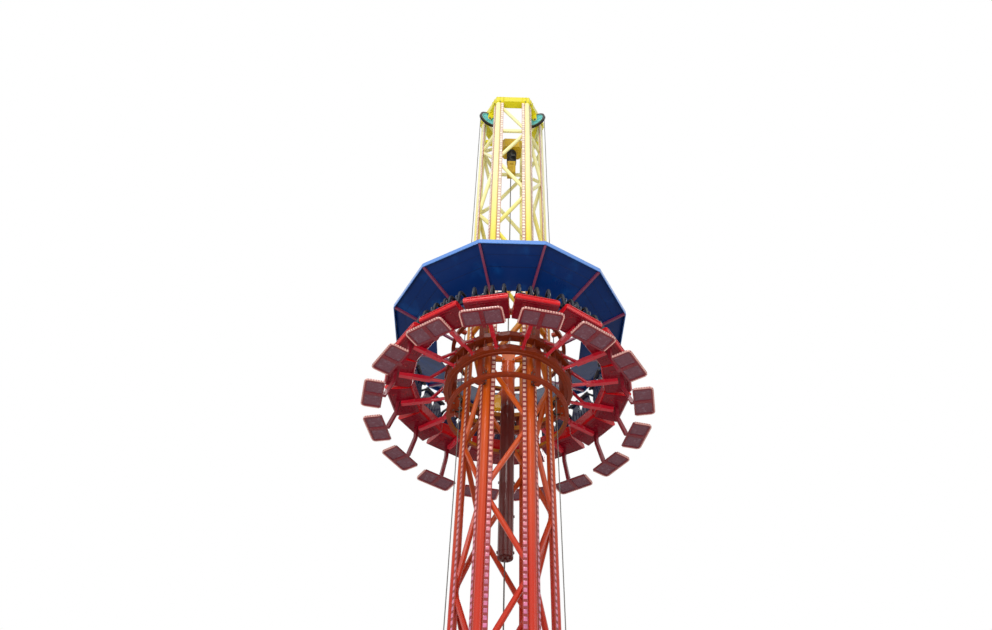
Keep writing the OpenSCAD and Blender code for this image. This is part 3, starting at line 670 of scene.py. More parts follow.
class DROPTOWER_OT_tower(bpy.types.Operator):
    """Paints the tower and its ropes and adds weld beads, anchor studs and channel lamps"""
    bl_idname = "drop_tower.tower"
    bl_label = "Tower"

    def execute(self, context):
        plain = tower_paint_and_light("column_paint", False)
        finish_nodes(plain, *[f"column_{k}" for k in range(1, 7)])
        finish_nodes(tower_paint_and_light("lattice_paint", True), *[f"lattice_{k}" for k in range(1, 7)])
        finish_nodes(gloss_paint("base_paint", picked("base"), 0.45, 0.006, 0.5), "base_frame")
        finish_nodes(self.rope_finish(), "hoist_ropes")
        self.welds(plain)
        self.anchors()
        self.lamps()
        return {"FINISHED"}

    def rope_finish(self):
        """Laid wire rope: the height is the sine of six times the angle round the rope plus its length's turns. A
        rope's two runs lie on both sides of its sheave's middle, a groove's radius away."""
        f = Finish("laid_wire_rope")
        out, across = f.sector(120, 90)
        nearer = out - (SHEAVE_R + GROOVE_R) + (out < SHEAVE_R) * (2 * GROOVE_R)
        strand = (across.maths("ARCTAN2", nearer) * 6.0 + f.z * 70.0).sine() * 0.5 + 0.5
        look = f.mix(paint(60, 56, 52), paint(150, 148, 142), strand.fade(0.2, 0.9))
        look = f.mix(look, paint(40, 34, 28), f.noise(6.0, 3.0).fade(0.6, 0.8) * 0.6)
        return f.shade(look, 0.42 + f.noise(40.0) * 0.2, height=strand, lift=0.002, metallic=0.7)

    def welds(self, finish):
        """Bead round each bar's end: an oval path (r cos a, r sin a / cos slope) that a small circle follows.
        Diagonals climb in a zigzag, from one side of the face to the other in each rise."""
        slope = math.atan2(DIAGONAL_RISE, 2 * FACE_HALF)
        share = (FACE_HALF - BAR_END) / (2 * FACE_HALF) * DIAGONAL_RISE
        joints = TOP_JOINT - SECTION * np.arange(3)
        runs = ((FIRST_NODE, 4), (joints[2], 5), (joints[1], 5))

        def ends(start, count, first):
            """Side and height of both ends of each diagonal in a run of them."""
            k = np.arange(count)
            side = np.where(k % 2 == 0, first, -first)
            low = start + k * DIAGONAL_RISE + share
            high = low + DIAGONAL_RISE - 2 * share
            return np.concatenate([np.stack([side, low], 1), np.stack([-side, high], 1)])

        odd = np.concatenate([ends(*run, -1) for run in runs] + [ends(joints[0], 1, 1)])
        even = np.concatenate([ends(*run, 1) for run in runs])
        levels = np.array([(side, z) for side in (-1, 1) for z in (*joints, FIRST_NODE)])
        a = 2 * np.pi * np.arange(20) / 20
        shape = None
        oval = 1 / math.cos(slope)
        for radius, stretch, faces, spots in ((DIAGONAL_D / 2, oval, FACES[::2], odd),
                                              (DIAGONAL_D / 2, oval, FACES[1::2], even),
                                              (LEVEL_D / 2, 1.0, FACES, levels)):
            path = np.stack([radius * np.cos(a), 0 * a, radius * stretch * np.sin(a)], -1)
            ring = sweep(path, circle(sizes().weld, 6), loop=True, up=(0, 1, 0))
            places = move(x=FACE_R, y=spots[:, 0] * (BAR_END - 0.002), z=spots[:, 1])
            part = ring.repeated(faces[:, None] @ places)
            shape = shape + part if shape else part
        new_piece("lattice_weld_beads", shape, "tower", finish)

    def anchors(self):
        """Studs through the base plate, each with a nut and washer, its thread a zigzag profile turned about Z."""
        thread = [(0.0175 if k % 2 else 0.0155, 0.002 + 0.0055 * k) for k in range(22)]
        stud = lathe([(0.012, 0.0005)] + thread + [(0.012, 0.126)], 14)
        nut = lathe([(0.0317, 0.056), (0.0317, 0.082), (0.028, 0.086)], 6)
        washer = lathe([(0.034, 0.0495), (0.034, 0.055), (0.032, 0.0565)], 20)
        places = spin(15 + 30 * np.arange(12)) @ move(x=ANCHOR_R)
        new_piece("anchor_studs", (stud + nut + washer).repeated(places), "tower", steel())
        foot = welded_ring(COLUMN_RADIUS, 40, BASE_TOP, 0.009, 8)
        new_piece("column_foot_welds", foot.repeated(COLUMNS @ move(x=COLUMN_R)), "tower",
                  FINISHES["base_paint"])

    def lamps(self):
        """Rows of small square lenses on the light channels: three rings of four corners, drawn in to the front."""
        corners = CORNERS * (sizes().lamp_width / 2, sizes().lamp_height / 2)
        rings = [np.column_stack([np.full(4, x), corners * s])
                 for x, s in ((-0.001, 1.0), (0.004, 0.94), (0.007, 0.72))]
        z = np.arange(CHANNEL_LOW + 0.03, COLUMN_TOP - 0.03, sizes().lamp_pitch)
        places = FACES[:, None, None] @ move(x=CHANNEL_OUT, y=CHANNEL_MID * BOTH[:, None], z=z[None])
        f = Finish("channel_lens")
        look = (f.z / LAMP_SPAN).ramp((0.0, picked("lamp_low")), (0.32, paint(206, 112, 150)),
                                      (0.44, paint(222, 140, 128)), (0.66, picked("lamp_high")))
        flicker = f.noise(9.0, 2.0).fade(0.35, 0.6)
        look = f.mix(f.dimmed(look, 0.62), look, flicker)
        lens = f.shade(look, 0.25, height=f.noise(90.0), lift=0.0006, coat=0.3, glow_strength=0.12)
        new_piece("channel_lamps", skin(rings).repeated(places), "tower", lens)


# Head and hoist

def sheave_finish(name, height):
    """Teal disc with a black rim and a bright groove: zones of the distance from the axle, in the sheave's plane."""
    f = Finish(name)
    out, across = f.sector(120, 90)
    hub, rim, groove_in, groove_out, groove_half = 0.05, 0.262, 0.289, 0.312, 0.014
    far = ((out - SHEAVE_R) ** 2.0 + (f.z - height) ** 2.0) ** 0.5
    look = wear(f, picked("sheave"), amount=0.25)
    look = f.mix(look, paint(16, 18, 18), (far > rim).most(far < hub))
    groove = (far > groove_in) * (far < groove_out) * (abs(across) < groove_half)
    look = f.mix(look, paint(140, 138, 132), groove)
    turned = (far * 900.0).sine() * 0.5 + 0.5
    return f.shade(look, 0.34 + f.noise(7.0, 3.0) * 0.2, height=turned, lift=0.00015, coat=0.3,
                   metallic=groove * 0.8, round_edge=0.004)


class DROPTOWER_OT_hoist(bpy.types.Operator):
    """Finishes the head, the sheaves, the winch and the counterweight"""
    bl_idname = "drop_tower.hoist"
    bl_label = "Hoist"

    def execute(self, context):
        head = gloss_paint("head_paint", picked("head"), 0.3, 0.005, 0.16)
        finish_nodes(head, "head_frame", "sheave_brackets", "winch_beam")
        amber = gloss_paint("machine_paint", picked("machine"), 0.36, 0.005, 0.3)
        finish_nodes(amber, "winch_housing", "brake_housing")
        finish_nodes(gloss_paint("yoke_paint", paint(252, 122, 22), 0.34, 0.005, 0.2), "weight_yoke")
        motor = gloss_paint("motor_paint", paint(28, 29, 32), 0.45, 0.004, 0.3, paint(90, 88, 84))
        finish_nodes(motor, "winch_motor")
        finish_nodes(gloss_paint("box_paint", paint(248, 198, 20), 0.3, 0.004, 0.2), "junction_box")
        finish_nodes(self.weight_lit_finish(), "counterweight")
        finish_nodes(sheave_finish("tail_sheave_paint", TAIL_Z), "tail_sheaves")
        turning = sheave_finish("head_sheave_paint", SHEAVE_Z)
        finish_nodes(turning, *[f"head_sheave_{k}" for k in range(1, 4)])
        self.sheave_parts(turning)
        self.head_parts(head)
        self.winch_parts(amber)
        self.weight_parts()
        return {"FINISHED"}

    def weight_lit_finish(self):
        """Paint that is dark red low down and orange at the top, with scuffs along its length. The orange is painted
        light on the weight's upper end, and the dark red below is partly painted shade.
        """
        f = Finish("weight_paint")
        # Painted light and shade: orange where light falls on the upper end, dark red below
        look = f.mix(picked("weight"), paint(250, 104, 22), f.z.fade(WEIGHT_TOP - 1.4, WEIGHT_TOP - 0.7))
        look = wear(f, look, amount=0.4)
        look = f.mix(look, paint(52, 30, 22), f.noise(22.0, 4.0, (1, 1, 0.06)).fade(0.58, 0.75) * 0.6)
        return f.shade(look, 0.34 + f.noise(5.0) * 0.2, height=f.noise(120.0, 2.0), lift=0.0005, coat=0.4)

    def sheave_parts(self, finish):
        """Six ribs on each face of the web, as tapered blocks on spokes, a ring of hub bolts, and nuts with a grease
        cap on the axles' ends."""
        rib = skin([[(r, -t, 0.009), (r, t, 0.009), (r, t * 0.7, h), (r, -t * 0.7, h)]
                    for r, t, h in ((0.072, 0.008, 0.032), (0.14, 0.007, 0.026), (0.248, 0.006, 0.033))])
        spokes = spin(60 * np.arange(6))
        studs = bolt(0.018, 0.012, 0.003).repeated(spin(30 + 60 * np.arange(6)) @ move(x=0.052, z=0.0345))
        side = rib.repeated(spokes) + studs
        both = side + side.moved(OVER)
        upright = move(x=SHEAVE_R) @ roll(90)
        for k, place in enumerate(ROPES @ move(z=SHEAVE_Z) @ upright, 1):
            new_piece(f"head_sheave_ribs_{k}", both.moved(place), f"sheave_{k}", finish)
        tail = both.repeated(ROPES @ move(z=TAIL_Z) @ upright)
        new_piece("tail_sheave_ribs", tail, "tower", FINISHES["tail_sheave_paint"])
        nut = (lathe([(0.041, -0.002), (0.041, 0.006), (0.039, 0.008)], 24)
               + lathe([(0.034, 0.007), (0.034, 0.024), (0.03, 0.028)], 6)
               + lathe([(0.009, 0.026), (0.009, 0.034), (0.005, 0.038)], 10))
        ends = ROPES[:, None, None] @ move(x=SHEAVE_R, z=rows(SHEAVE_Z, TAIL_Z)) @ SIDEWAYS @ move(z=CHEEK_OUT)
        new_piece("axle_nuts", nut.repeated(ends), "tower", steel())

    def head_parts(self, finish):
        """Splice plates at the corners of the head frame, bolted flanges at both ends of the sheave stands, and
        bolts under the head over each column. All are blocks and bolt heads set on grids of places."""
        plate = block(0.24, 0.17, 0.012, 0.003)
        bolts = bolt(0.03, 0.02, 0.004).repeated(move(x=rows(-0.085, 0, 0.085), y=0.055 * BOTH, z=0.011))
        spots = FACES[:, None] @ move(x=HEAD_FACE - 0.001, y=0.36 * BOTH, z=HEAD_MIDDLE) @ OUTWARD
        new_piece("head_splice_plates", (plate + bolts).repeated(spots), "tower", finish)
        cheeks = 0.075 * BOTH
        flange = block(0.24, 0.044, 0.012, 0.003)
        flange += bolt(0.022, 0.014, 0.003).repeated(move(x=[-0.09, 0.0, 0.09], z=0.011))
        feet = (flange.repeated(ROPES[:, None] @ move(x=STAND_R, y=cheeks, z=HEAD_LOW + 0.001) @ OVER)
                + flange.repeated(ROPES[:, None] @ move(x=SHEAVE_R, y=cheeks, z=BASE_TOP - 0.001)))
        new_piece("stand_flanges", feet, "tower", finish)
        foot = bolt(0.024, 0.016, 0.004).repeated(move(x=rows(-0.1, 0.1), y=cheeks))
        under = foot.repeated(COLUMNS @ move(x=COLUMN_R, z=HEAD_LOW + 0.001) @ OVER @ spin(90))
        new_piece("head_under_bolts", under, "tower", steel())

    def winch_parts(self, amber):
        """Louvres on the housing, each a slanting section carried along its length and closed down at both ends; fins
        on spokes and end covers on the motor; doors and vents on the brake; lid, knobs and glands on the box."""
        shut = [(-0.002, -0.012), (0.002, -0.012), (0.002, 0.012), (-0.002, 0.012)]
        wide = [(-0.002, -0.014), (0.016, -0.012), (0.004, 0.014), (-0.002, 0.014)]
        louvre = sweep([(x, 0, 0) for x in (-0.19, -0.186, 0.186, 0.19)], np.array([shut, wide, wide, shut]))
        louvres = louvre.repeated(OPPOSITE[:, None] @ move(y=-0.23, z=HOUSING_LOW + 0.06 + 0.044 * np.arange(9)))
        cover = block(0.34, 0.26, 0.014, 0.004).moved(move(z=HOUSING_LOW + 0.001) @ OVER)
        new_piece("housing_louvres", louvres + cover, "tower", amber)
        screws = bolt(0.014, 0.009, 0.002)
        around = np.array([(x, y) for x in (-0.15, 0.15) for y in (-0.11, 0, 0.11)] + [(0, -0.11), (0, 0.11)])
        fasteners = screws.repeated(move(x=around[:, 0], y=around[:, 1], z=HOUSING_LOW - 0.0125) @ OVER)
        fin_h = sizes().fin
        fin = block(0.004, fin_h + 0.006, 0.5, 0.001).moved(move(y=0.124 + fin_h / 2, z=MOTOR_LOW + 0.09))
        motor = (fin.repeated(spin(10 * np.arange(36)))
                 + lathe([(0.132, 0.01), (0.142, 0.02), (0.142, 0.07), (0.134, 0.08)], 48).moved(move(z=MOTOR_LOW))
                 + lathe([(0.134, -0.07), (0.145, -0.062), (0.145, -0.01), (0.14, -0.002)], 48).moved(
                     move(z=MOTOR_TOP))
                 + block(0.13, 0.10, 0.06, 0.006).moved(move(x=0.05, y=-0.12, z=MOTOR_LOW + 0.27) @ roll(90)))
        new_piece("motor_fins", motor, "tower", FINISHES["motor_paint"])
        door = block(0.2, 0.5, 0.008, 0.003).moved(move(y=-0.1245, z=BRAKE_LOW + 0.3) @ roll(90))
        hinge = lathe([(0.006, -0.03), (0.008, -0.028), (0.008, 0.028), (0.006, 0.03)], 10)
        hinges = hinge.repeated(move(x=-0.104, y=-0.132, z=BRAKE_LOW + np.array([0.12, 0.48])))
        vent = block(0.13, 0.012, 0.008, 0.003).repeated(
            move(y=-0.1315, z=BRAKE_LOW + 0.38 + 0.024 * np.arange(6)) @ roll(90))
        under = block(0.17, 0.17, 0.01, 0.003).moved(move(z=BRAKE_LOW + 0.001) @ OVER)
        side = door + hinges + vent
        new_piece("brake_doors", side + side.moved(spin(180)) + under, "tower", amber)
        fasteners += screws.repeated(move(x=0.07 * PAIR, y=0.07 * BOTH, z=BRAKE_LOW - 0.0085) @ OVER)
        head = bolt(0.024, 0.016, 0.004)
        fasteners += head.repeated(move(x=rows(-0.22, -0.12, 0.12, 0.22), y=0.05 * BOTH, z=BEAM_LOW + 0.001))
        fasteners += head.repeated(OPPOSITE[:, None, None] @ move(
            x=rows(0.7, 0.77), y=-0.069, z=BEAM_LOW + np.array([0.04, 0.12])) @ roll(90))
        new_piece("winch_fasteners", fasteners, "tower", steel())
        lid = block(0.235, 0.38, 0.006, 0.003).moved(move(y=-0.0565) @ roll(90))
        knob = lathe([(0.012, 0), (0.012, 0.008), (0.009, 0.011)], 12).repeated(
            move(x=0.095, y=-0.0625, z=0.13 * BOTH) @ roll(90))
        gland = lathe([(0.014, -0.07), (0.014, -0.032), (0.021, -0.03), (0.021, -0.002), (0.014, 0.001)], 12)
        box = (lid + knob + gland.repeated(move(x=[-0.075, 0.0, 0.075], z=-0.2))).moved(move(*BOX_MIDDLE))
        new_piece("box_lid", box, "tower", FINISHES["box_paint"])

    def weight_parts(self):
        """Turned bands with lugs round the counterweight where its plates are clamped, a bolted plate with a hook
        under it, and the bolts of the block above it."""
        heights = np.arange(WEIGHT_LOW + 0.12, WEIGHT_TOP, 0.79)
        bands = lathe([(0.148, -0.03), (0.154, -0.026), (0.154, 0.026), (0.148, 0.03)], 48).repeated(move(z=heights))
        lug = block(0.02, 0.03, 0.05, 0.004).repeated(OPPOSITE[:, None] @ move(x=0.16, z=heights - 0.025))
        new_piece("weight_bands", bands + lug, "counterweight", FINISHES["weight_paint"])
        plate = lathe([(0.118, -0.014), (0.125, -0.01), (0.125, 0.001)], 40).moved(move(z=WEIGHT_LOW))
        bolts = bolt(0.03, 0.02, 0.004).repeated(
            spin(60 * np.arange(6)) @ move(x=0.09, z=WEIGHT_LOW - 0.013) @ OVER)
        hook = lathe([(0.03, -0.014), (0.034, -0.022), (0.034, -0.04), (0.02, -0.05)], 6).moved(move(z=WEIGHT_LOW))
        new_piece("weight_end_plate", plate + bolts + hook, "counterweight", FINISHES["weight_paint"])
        top = bolt(0.03, 0.02, 0.004).repeated(move(x=0.11 * PAIR, y=0.11 * BOTH, z=WEIGHT_TOP + 0.259))
        faces = bolt(0.024, 0.016, 0.004).repeated(spin(90 * np.arange(4))[:, None, None] @ move(
            x=0.149, y=0.11 * PAIR, z=WEIGHT_TOP + np.array([0.04, 0.22])) @ OUTWARD)
        new_piece("yoke_bolts", top + faces, "counterweight", steel())


# Carriage

class DROPTOWER_OT_carriage(bpy.types.Operator):
    """Finishes the carriage, its guide wheels and the seat arms"""
    bl_idname = "drop_tower.carriage"
    bl_label = "Carriage"

    def execute(self, context):
        carriage = self.carriage_lit_finish()
        finish_nodes(carriage, "carriage_rings", "carriage_posts")
        finish_nodes(gloss_paint("clamp_paint", paint(196, 66, 22), 0.36, 0.004, 0.3), "rope_clamps")
        finish_nodes(self.wheel_finish(), "guide_wheels")
        arm = gloss_paint("arm_paint", picked("arm"), 0.22, 0.005, 0.16, coat=0.6)
        finish_nodes(arm, "seat_arms")
        self.wheel_parts()
        self.ring_parts(carriage)
        self.arm_parts(arm)
        return {"FINISHED"}

    def carriage_lit_finish(self):
        """Brown-orange paint with painted light on the faces that look in at the tower, which turn warmer and
        yellower as if lit by the tower's lamps.
        """
        f = Finish("carriage_paint")
        inward = (f.facing(0) * f.x + f.facing(1) * f.y) / f.away
        # Painted light: the inward faces near the hub are mixed towards warm yellow
        look = f.mix(picked("carriage"), paint(206, 140, 40), (-inward).fade(0.35, 0.8) * (f.away < 1.3))
        look = wear(f, look, amount=0.4)
        look = f.mix(look, paint(60, 44, 36), f.worn_edge(0.008) * 0.7)
        return f.shade(look, 0.36 + f.noise(5.0, 4.0) * 0.2, height=f.noise(140.0, 2.0), lift=0.0005, coat=0.1,
                       round_edge=0.005, specular=0.35)

    def wheel_finish(self):
        """Dark tyre on a steel centre: zones of the distance from the wheel's own pin."""
        f = Finish("wheel_tyre")
        out, across = f.sector(60, 0)
        nearest = 1.0
        for height in WHEEL_HEIGHTS:
            gap = ((out - WHEEL_X) ** 2.0 + (f.z - FOOT_Z - height) ** 2.0) ** 0.5
            nearest = gap.least(nearest)
        rim = nearest.fade(0.05, 0.052)
        look = f.mix(paint(120, 112, 100), paint(34, 32, 34), rim)
        look = f.mix(look, paint(96, 70, 50), f.noise(20.0, 4.0).fade(0.55, 0.75) * 0.5)
        return f.shade(look, 0.42 + f.noise(30.0) * 0.25, height=f.noise(90.0, 3.0), lift=0.0006,
                       metallic=(1 - rim) * 0.7, round_edge=0.006)

    def wheel_parts(self):
        """A nut on each end of every wheel pin, and clamping bolts down each post."""
        nut = (lathe([(0.022, -0.001), (0.022, 0.004), (0.02, 0.005)], 16)
               + lathe([(0.0205, 0.004), (0.0205, 0.016), (0.018, 0.019)], 6)
               + lathe([(0.011, 0.018), (0.011, 0.026), (0.009, 0.028)], 10))
        heights = FOOT_Z + np.array(WHEEL_HEIGHTS)
        places = COLUMNS[:, None, None] @ move(x=WHEEL_X, z=heights[:, None]) @ SIDEWAYS @ move(z=0.044)
        bolts = bolt(0.024, 0.015).repeated(COLUMNS[:, None, None] @ move(
            x=POST_IN + 0.03, z=FOOT_Z + rows(0.03, 0.235, 0.44, 1.46, 1.665, 1.87)) @ SIDEWAYS @ move(z=0.054))
        new_piece("wheel_pin_nuts", nut.repeated(places) + bolts, "gondola", steel())

    def ring_parts(self, finish):
        """Upright straps between the two bands of the hub, a round bead inside its lower band, bolts under both bands
        beside every web, and bolts under the lower ring."""
        band_r = 1.335
        straps = block(0.02, 0.05, 0.30, 0.004).moved(move(x=1.36, z=HUB_LOW + 0.11)).repeated(MODULES)
        ring = welded_ring(band_r, 96, FOOT_Z + HUB_LOW - 0.01, 0.016, 8)
        bolts = bolt(0.022, 0.014).repeated(MODULES[:, None, None] @ move(
            x=band_r, y=0.09 * PAIR, z=[HUB_LOW, HUB_HIGH]) @ OVER)
        under = bolt(0.02, 0.013).repeated(spin(7.5 * np.arange(48)) @ move(x=1.29, z=FOOT_Z - 0.0595) @ OVER)
        new_piece("ring_straps", straps + ring, "gondola", finish)
        new_piece("ring_bolts", bolts + under, "gondola", finish)

    def arm_parts(self, finish):
        """Bolts at the corners of every arm plate, a weld collar where each tube meets it, and two bolted clamps
        where the arm carries the shell."""
        heights = np.array([HUB_LOW, HUB_HIGH]) + HUB_BAND / 2
        plate = bolt(0.022, 0.014).repeated(move(y=0.043 * PAIR, z=0.048 * BOTH) @ OUTWARD)
        bolts = plate.repeated(MODULES[:, None] @ move(x=HUB_R + 0.0155, z=heights))
        new_piece("arm_plate_bolts", bolts, "gondola", steel())
        ring = welded_ring(0.039, 24, 0, 0.006, 6)
        high_slope = math.degrees(math.atan2(HUB_HIGH + HUB_BAND / 2 - 0.65, 0.372))
        collars = (ring.moved(move(x=HUB_R + 0.018, z=HUB_LOW + 0.06) @ OUTWARD)
                   + ring.moved(move(x=HUB_R + 0.03, z=HUB_HIGH + 0.05) @ lean(90 + high_slope * 0.6)))
        wrap = block(0.05, 0.106, 0.106, 0.004).repeated(move(x=[1.93, 2.16], z=0.597))
        studs = bolt(0.018, 0.012).repeated(move(x=rows(1.93, 2.16), y=0.03 * BOTH, z=0.598) @ OVER)
        new_piece("arm_collars", (collars + wrap + studs).repeated(MODULES), "gondola", finish)


# Seats

def vinyl(name, colour, rough):
    """Padded vinyl: fine grain, and lighter bluish clouds."""
    f = Finish(name)
    grain = f.cells(420.0) * 0.5 + f.noise(180.0, 3.0) * 0.5
    look = f.mix(colour, paint(58, 68, 96), f.noise(7.0, 4.0).fade(0.5, 0.85) * 0.25)
    return f.shade(look, rough + f.noise(11.0, 3.0) * 0.16, height=grain, lift=0.0007, coat=0.1, coat_roughness=0.3,
                   specular=0.4)


class DROPTOWER_OT_seats(bpy.types.Operator):
    """Finishes the seat shells and backs and makes the cushions and back pads"""
    bl_idname = "drop_tower.seats"
    bl_label = "Seats"

    def execute(self, context):
        shell = self.shell_finish()
        back = self.back_finish()
        finish_nodes(shell, "seat_shells")
        finish_nodes(back, "seat_backs")
        self.shell_parts(shell)
        self.back_parts(back)
        self.cushions()
        return {"FINISHED"}

    def shell_finish(self):
        """Gloss moulded red with painted shade that darkens the underside, and swirl marks and scuffs."""
        f = Finish("shell_gloss")
        # Painted shade: faces that look down turn dark red
        under = (-f.facing(2)).fade(0.5, 0.9)
        look = f.mix(picked("shell"), paint(124, 2, 26), under)
        look = f.mix(look, paint(226, 60, 56), f.noise(3.0, 4.0).fade(0.58, 0.8) * 0.25)
        look = f.mix(look, paint(150, 120, 110), f.worn_edge(0.006, 0.62) * 0.5)
        return f.shade(look, 0.2 + f.noise(8.0, 4.0) * 0.16, height=f.noise(60.0, 2.0), lift=0.0004, coat=0.15,
                       round_edge=0.008, specular=0.3)

    def back_finish(self):
        """Gloss moulded navy with faint lighter streaks down it, which are painted highlights."""
        f = Finish("back_gloss")
        # Painted highlights: lighter blue streaks drawn out down the back
        look = f.mix(picked("back"), paint(52, 74, 128), f.noise(14.0, 3.0, (1, 1, 0.12)).fade(0.5, 0.8) * 0.45)
        look = f.mix(look, paint(120, 124, 134), f.worn_edge(0.006, 0.62) * 0.5)
        return f.shade(look, 0.2 + f.noise(9.0, 3.0) * 0.18, height=f.noise(70.0, 2.0), lift=0.0004, coat=0.5,
                       round_edge=0.01)

    def shell_parts(self, finish):
        """Rolled bead round the top of the tub: a circle carried along the wall's top line, level at the back, down
        along the sides and across the front, with a second bead on the middle wall. Under the floor lie a pressed
        pan, two swages and four bolts."""
        def wide(x):
            """Half the tub's width, which grows evenly towards its front."""
            return 0.388 + 0.06 * (x - SHELL_BACK) / SHELL_LONG
        tops = [(2.127, 0.992), (2.17, 0.985), (2.345, 0.893), (2.5, 0.868), (2.64, 0.845), (2.705, 0.836)]
        side = [(x, wide(x), z) for x, z in tops]
        front = [(2.722, y, 0.834) for y in (0.36, 0.2, 0.0, -0.2, -0.36)]
        line = side + front + [(x, -y, z) for x, y, z in reversed(side)]
        rear = [(2.127, y, 0.996) for y in (-0.3, 0.0, 0.3)]
        path = curve(line + rear, 4, loop=True)
        bead = sweep(path, circle(sizes().bead, 10), loop=True)
        middle = sweep(curve([(x, 0, z) for x, z in tops], 3), circle(sizes().bead * 0.9, 8))
        pan = block(0.34, 0.56, 0.012, 0.006).moved(move(x=2.46, z=SEAT_H + 0.001) @ OVER)
        swage = block(0.022, 0.62, 0.01, 0.004).repeated(move(x=[2.24, 2.67], z=SEAT_H + 0.001) @ OVER)
        new_piece("shell_beads", (bead + middle).repeated(MODULES), "gondola", finish, 50)
        new_piece("shell_pans", (pan + swage).repeated(MODULES), "gondola", finish)
        bolts = bolt(0.018, 0.012).repeated(move(x=rows(2.34, 2.58), y=0.24 * BOTH, z=SEAT_H - 0.01) @ OVER)
        new_piece("shell_bolts", bolts.repeated(MODULES), "gondola", finish)

    def back_parts(self, finish):
        """Three moulded swages down the rear of each back, as ovals that swell and shrink along a line, and a rolled
        edge round its outline."""
        def rear(z):
            """Distance out of the back's rear face, which leans from 0.3 up."""
            return SHELL_BACK + 0.0343 - np.maximum(0, z - 0.3) * 0.1
        z = np.array([0.34, 0.36, 0.45, 0.54, 0.56])
        width = np.array([0.006, 0.016, 0.018, 0.016, 0.006])[:, None]
        section = circle(1.0, 8, 0.6) * width[..., None]
        path = np.stack([rear(z) + 0.002, 0 * z, SEAT_H + z], -1)
        swage = sweep(path, section, up=(0, 1, 0))
        shape = swage.repeated(BAYS[..., None, :, :] @ move(y=[-0.1, 0.0, 0.1]))
        half, head = 0.172, 0.08
        outline = [(half, 0.32), (half, 0.5), (0.155, 0.548), (0.13, 0.562), (0.092, 0.66), (head, 0.7),
                   (head, 0.80), (0.06, 0.842), (0.0, 0.85)]
        points = [(rear(b) + 0.074, a, SEAT_H + b) for a, b in outline]
        points += [(x, -y, h) for x, y, h in reversed(points[:-1])]
        edge = sweep(curve(points, 3), circle(0.009, 6), up=(1, 0, 0.05))
        new_piece("back_edges", shape + edge.repeated(BAYS), "gondola", finish, 50)

    def cushions(self):
        """Crowned seat, back and head pads, each blown up once as cloth and set into all thirty-two places. The seat
        rises to its nose by a square and dips by a bell curve where one sits, the back pad has rolls along a cosine
        and side bolsters along a cube, and a cord of piping runs round the seat."""
        seat_vinyl = vinyl("seat_vinyl", picked("pad"), 0.46)
        long, wide, square = 0.415, 0.326, 0.3
        seat = pillow(long, wide, 0.07, square, 0.4, 14, 56)
        x, y, z = seat.points.T
        z = np.where(z < 0, z * 0.35, z)
        nose = np.clip((x - 0.06) / 0.14, 0, 1)
        dip = np.exp(-((x + 0.05) / 0.13) ** 2 - (y / 0.1) ** 2)
        seat = Shape(np.stack([x, y, z + (0.012 * nose ** 2 - 0.008 * dip) * (z > 0)], -1), seat.faces)
        seat = inflated(seat, PRESSURE, 0.006).moved(move(x=CUSHION_R, z=SEAT_H + SHELL_T + 0.02))
        made = new_piece("seat_cushion_pads", seat.repeated(BAYS), "gondola", seat_vinyl, 80)
        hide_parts("seat_cushions")
        u = 2 * np.pi * np.arange(56) / 56
        line = np.stack([CUSHION_R + (long / 2 + 0.001) * power(np.cos(u), square),
                         (wide / 2 + 0.001) * power(np.sin(u), square),
                         np.full(56, SEAT_H + SHELL_T + 0.022)], -1)
        piping = sweep(line, circle(0.004, 6), loop=True)
        lower = pillow(0.40, 0.275, sizes().pad, 0.35, 0.45, 12, 48)
        px, py, pz = lower.points.T
        roll_line = 0.008 * np.cos(px * 2 * np.pi / 0.1) * np.exp(-(py / 0.11) ** 4) * (pz > 0)
        side = 0.014 * np.abs(py / 0.13) ** 3 * (pz > 0)
        lower = inflated(Shape(np.stack([px, py, pz + roll_line + side], -1), lower.faces), PRESSURE, 0.006)
        lower = lower.moved(move(x=BACK_FRONT + 0.016, z=SEAT_H + 0.315) @ OUTWARD)
        head = inflated(pillow(0.15, 0.15, 0.045, 0.4, 0.5, 10, 32), PRESSURE, 0.005)
        head = head.moved(move(x=BACK_FRONT - 0.031, z=SEAT_H + 0.765) @ lean(84))
        made = new_piece("back_pads", (lower + head).repeated(BAYS), "gondola", seat_vinyl, 80)
        cord = vinyl("piping_vinyl", paint(40, 42, 50), 0.4)
        new_piece("cushion_piping", piping.repeated(BAYS), "gondola", cord, 80)


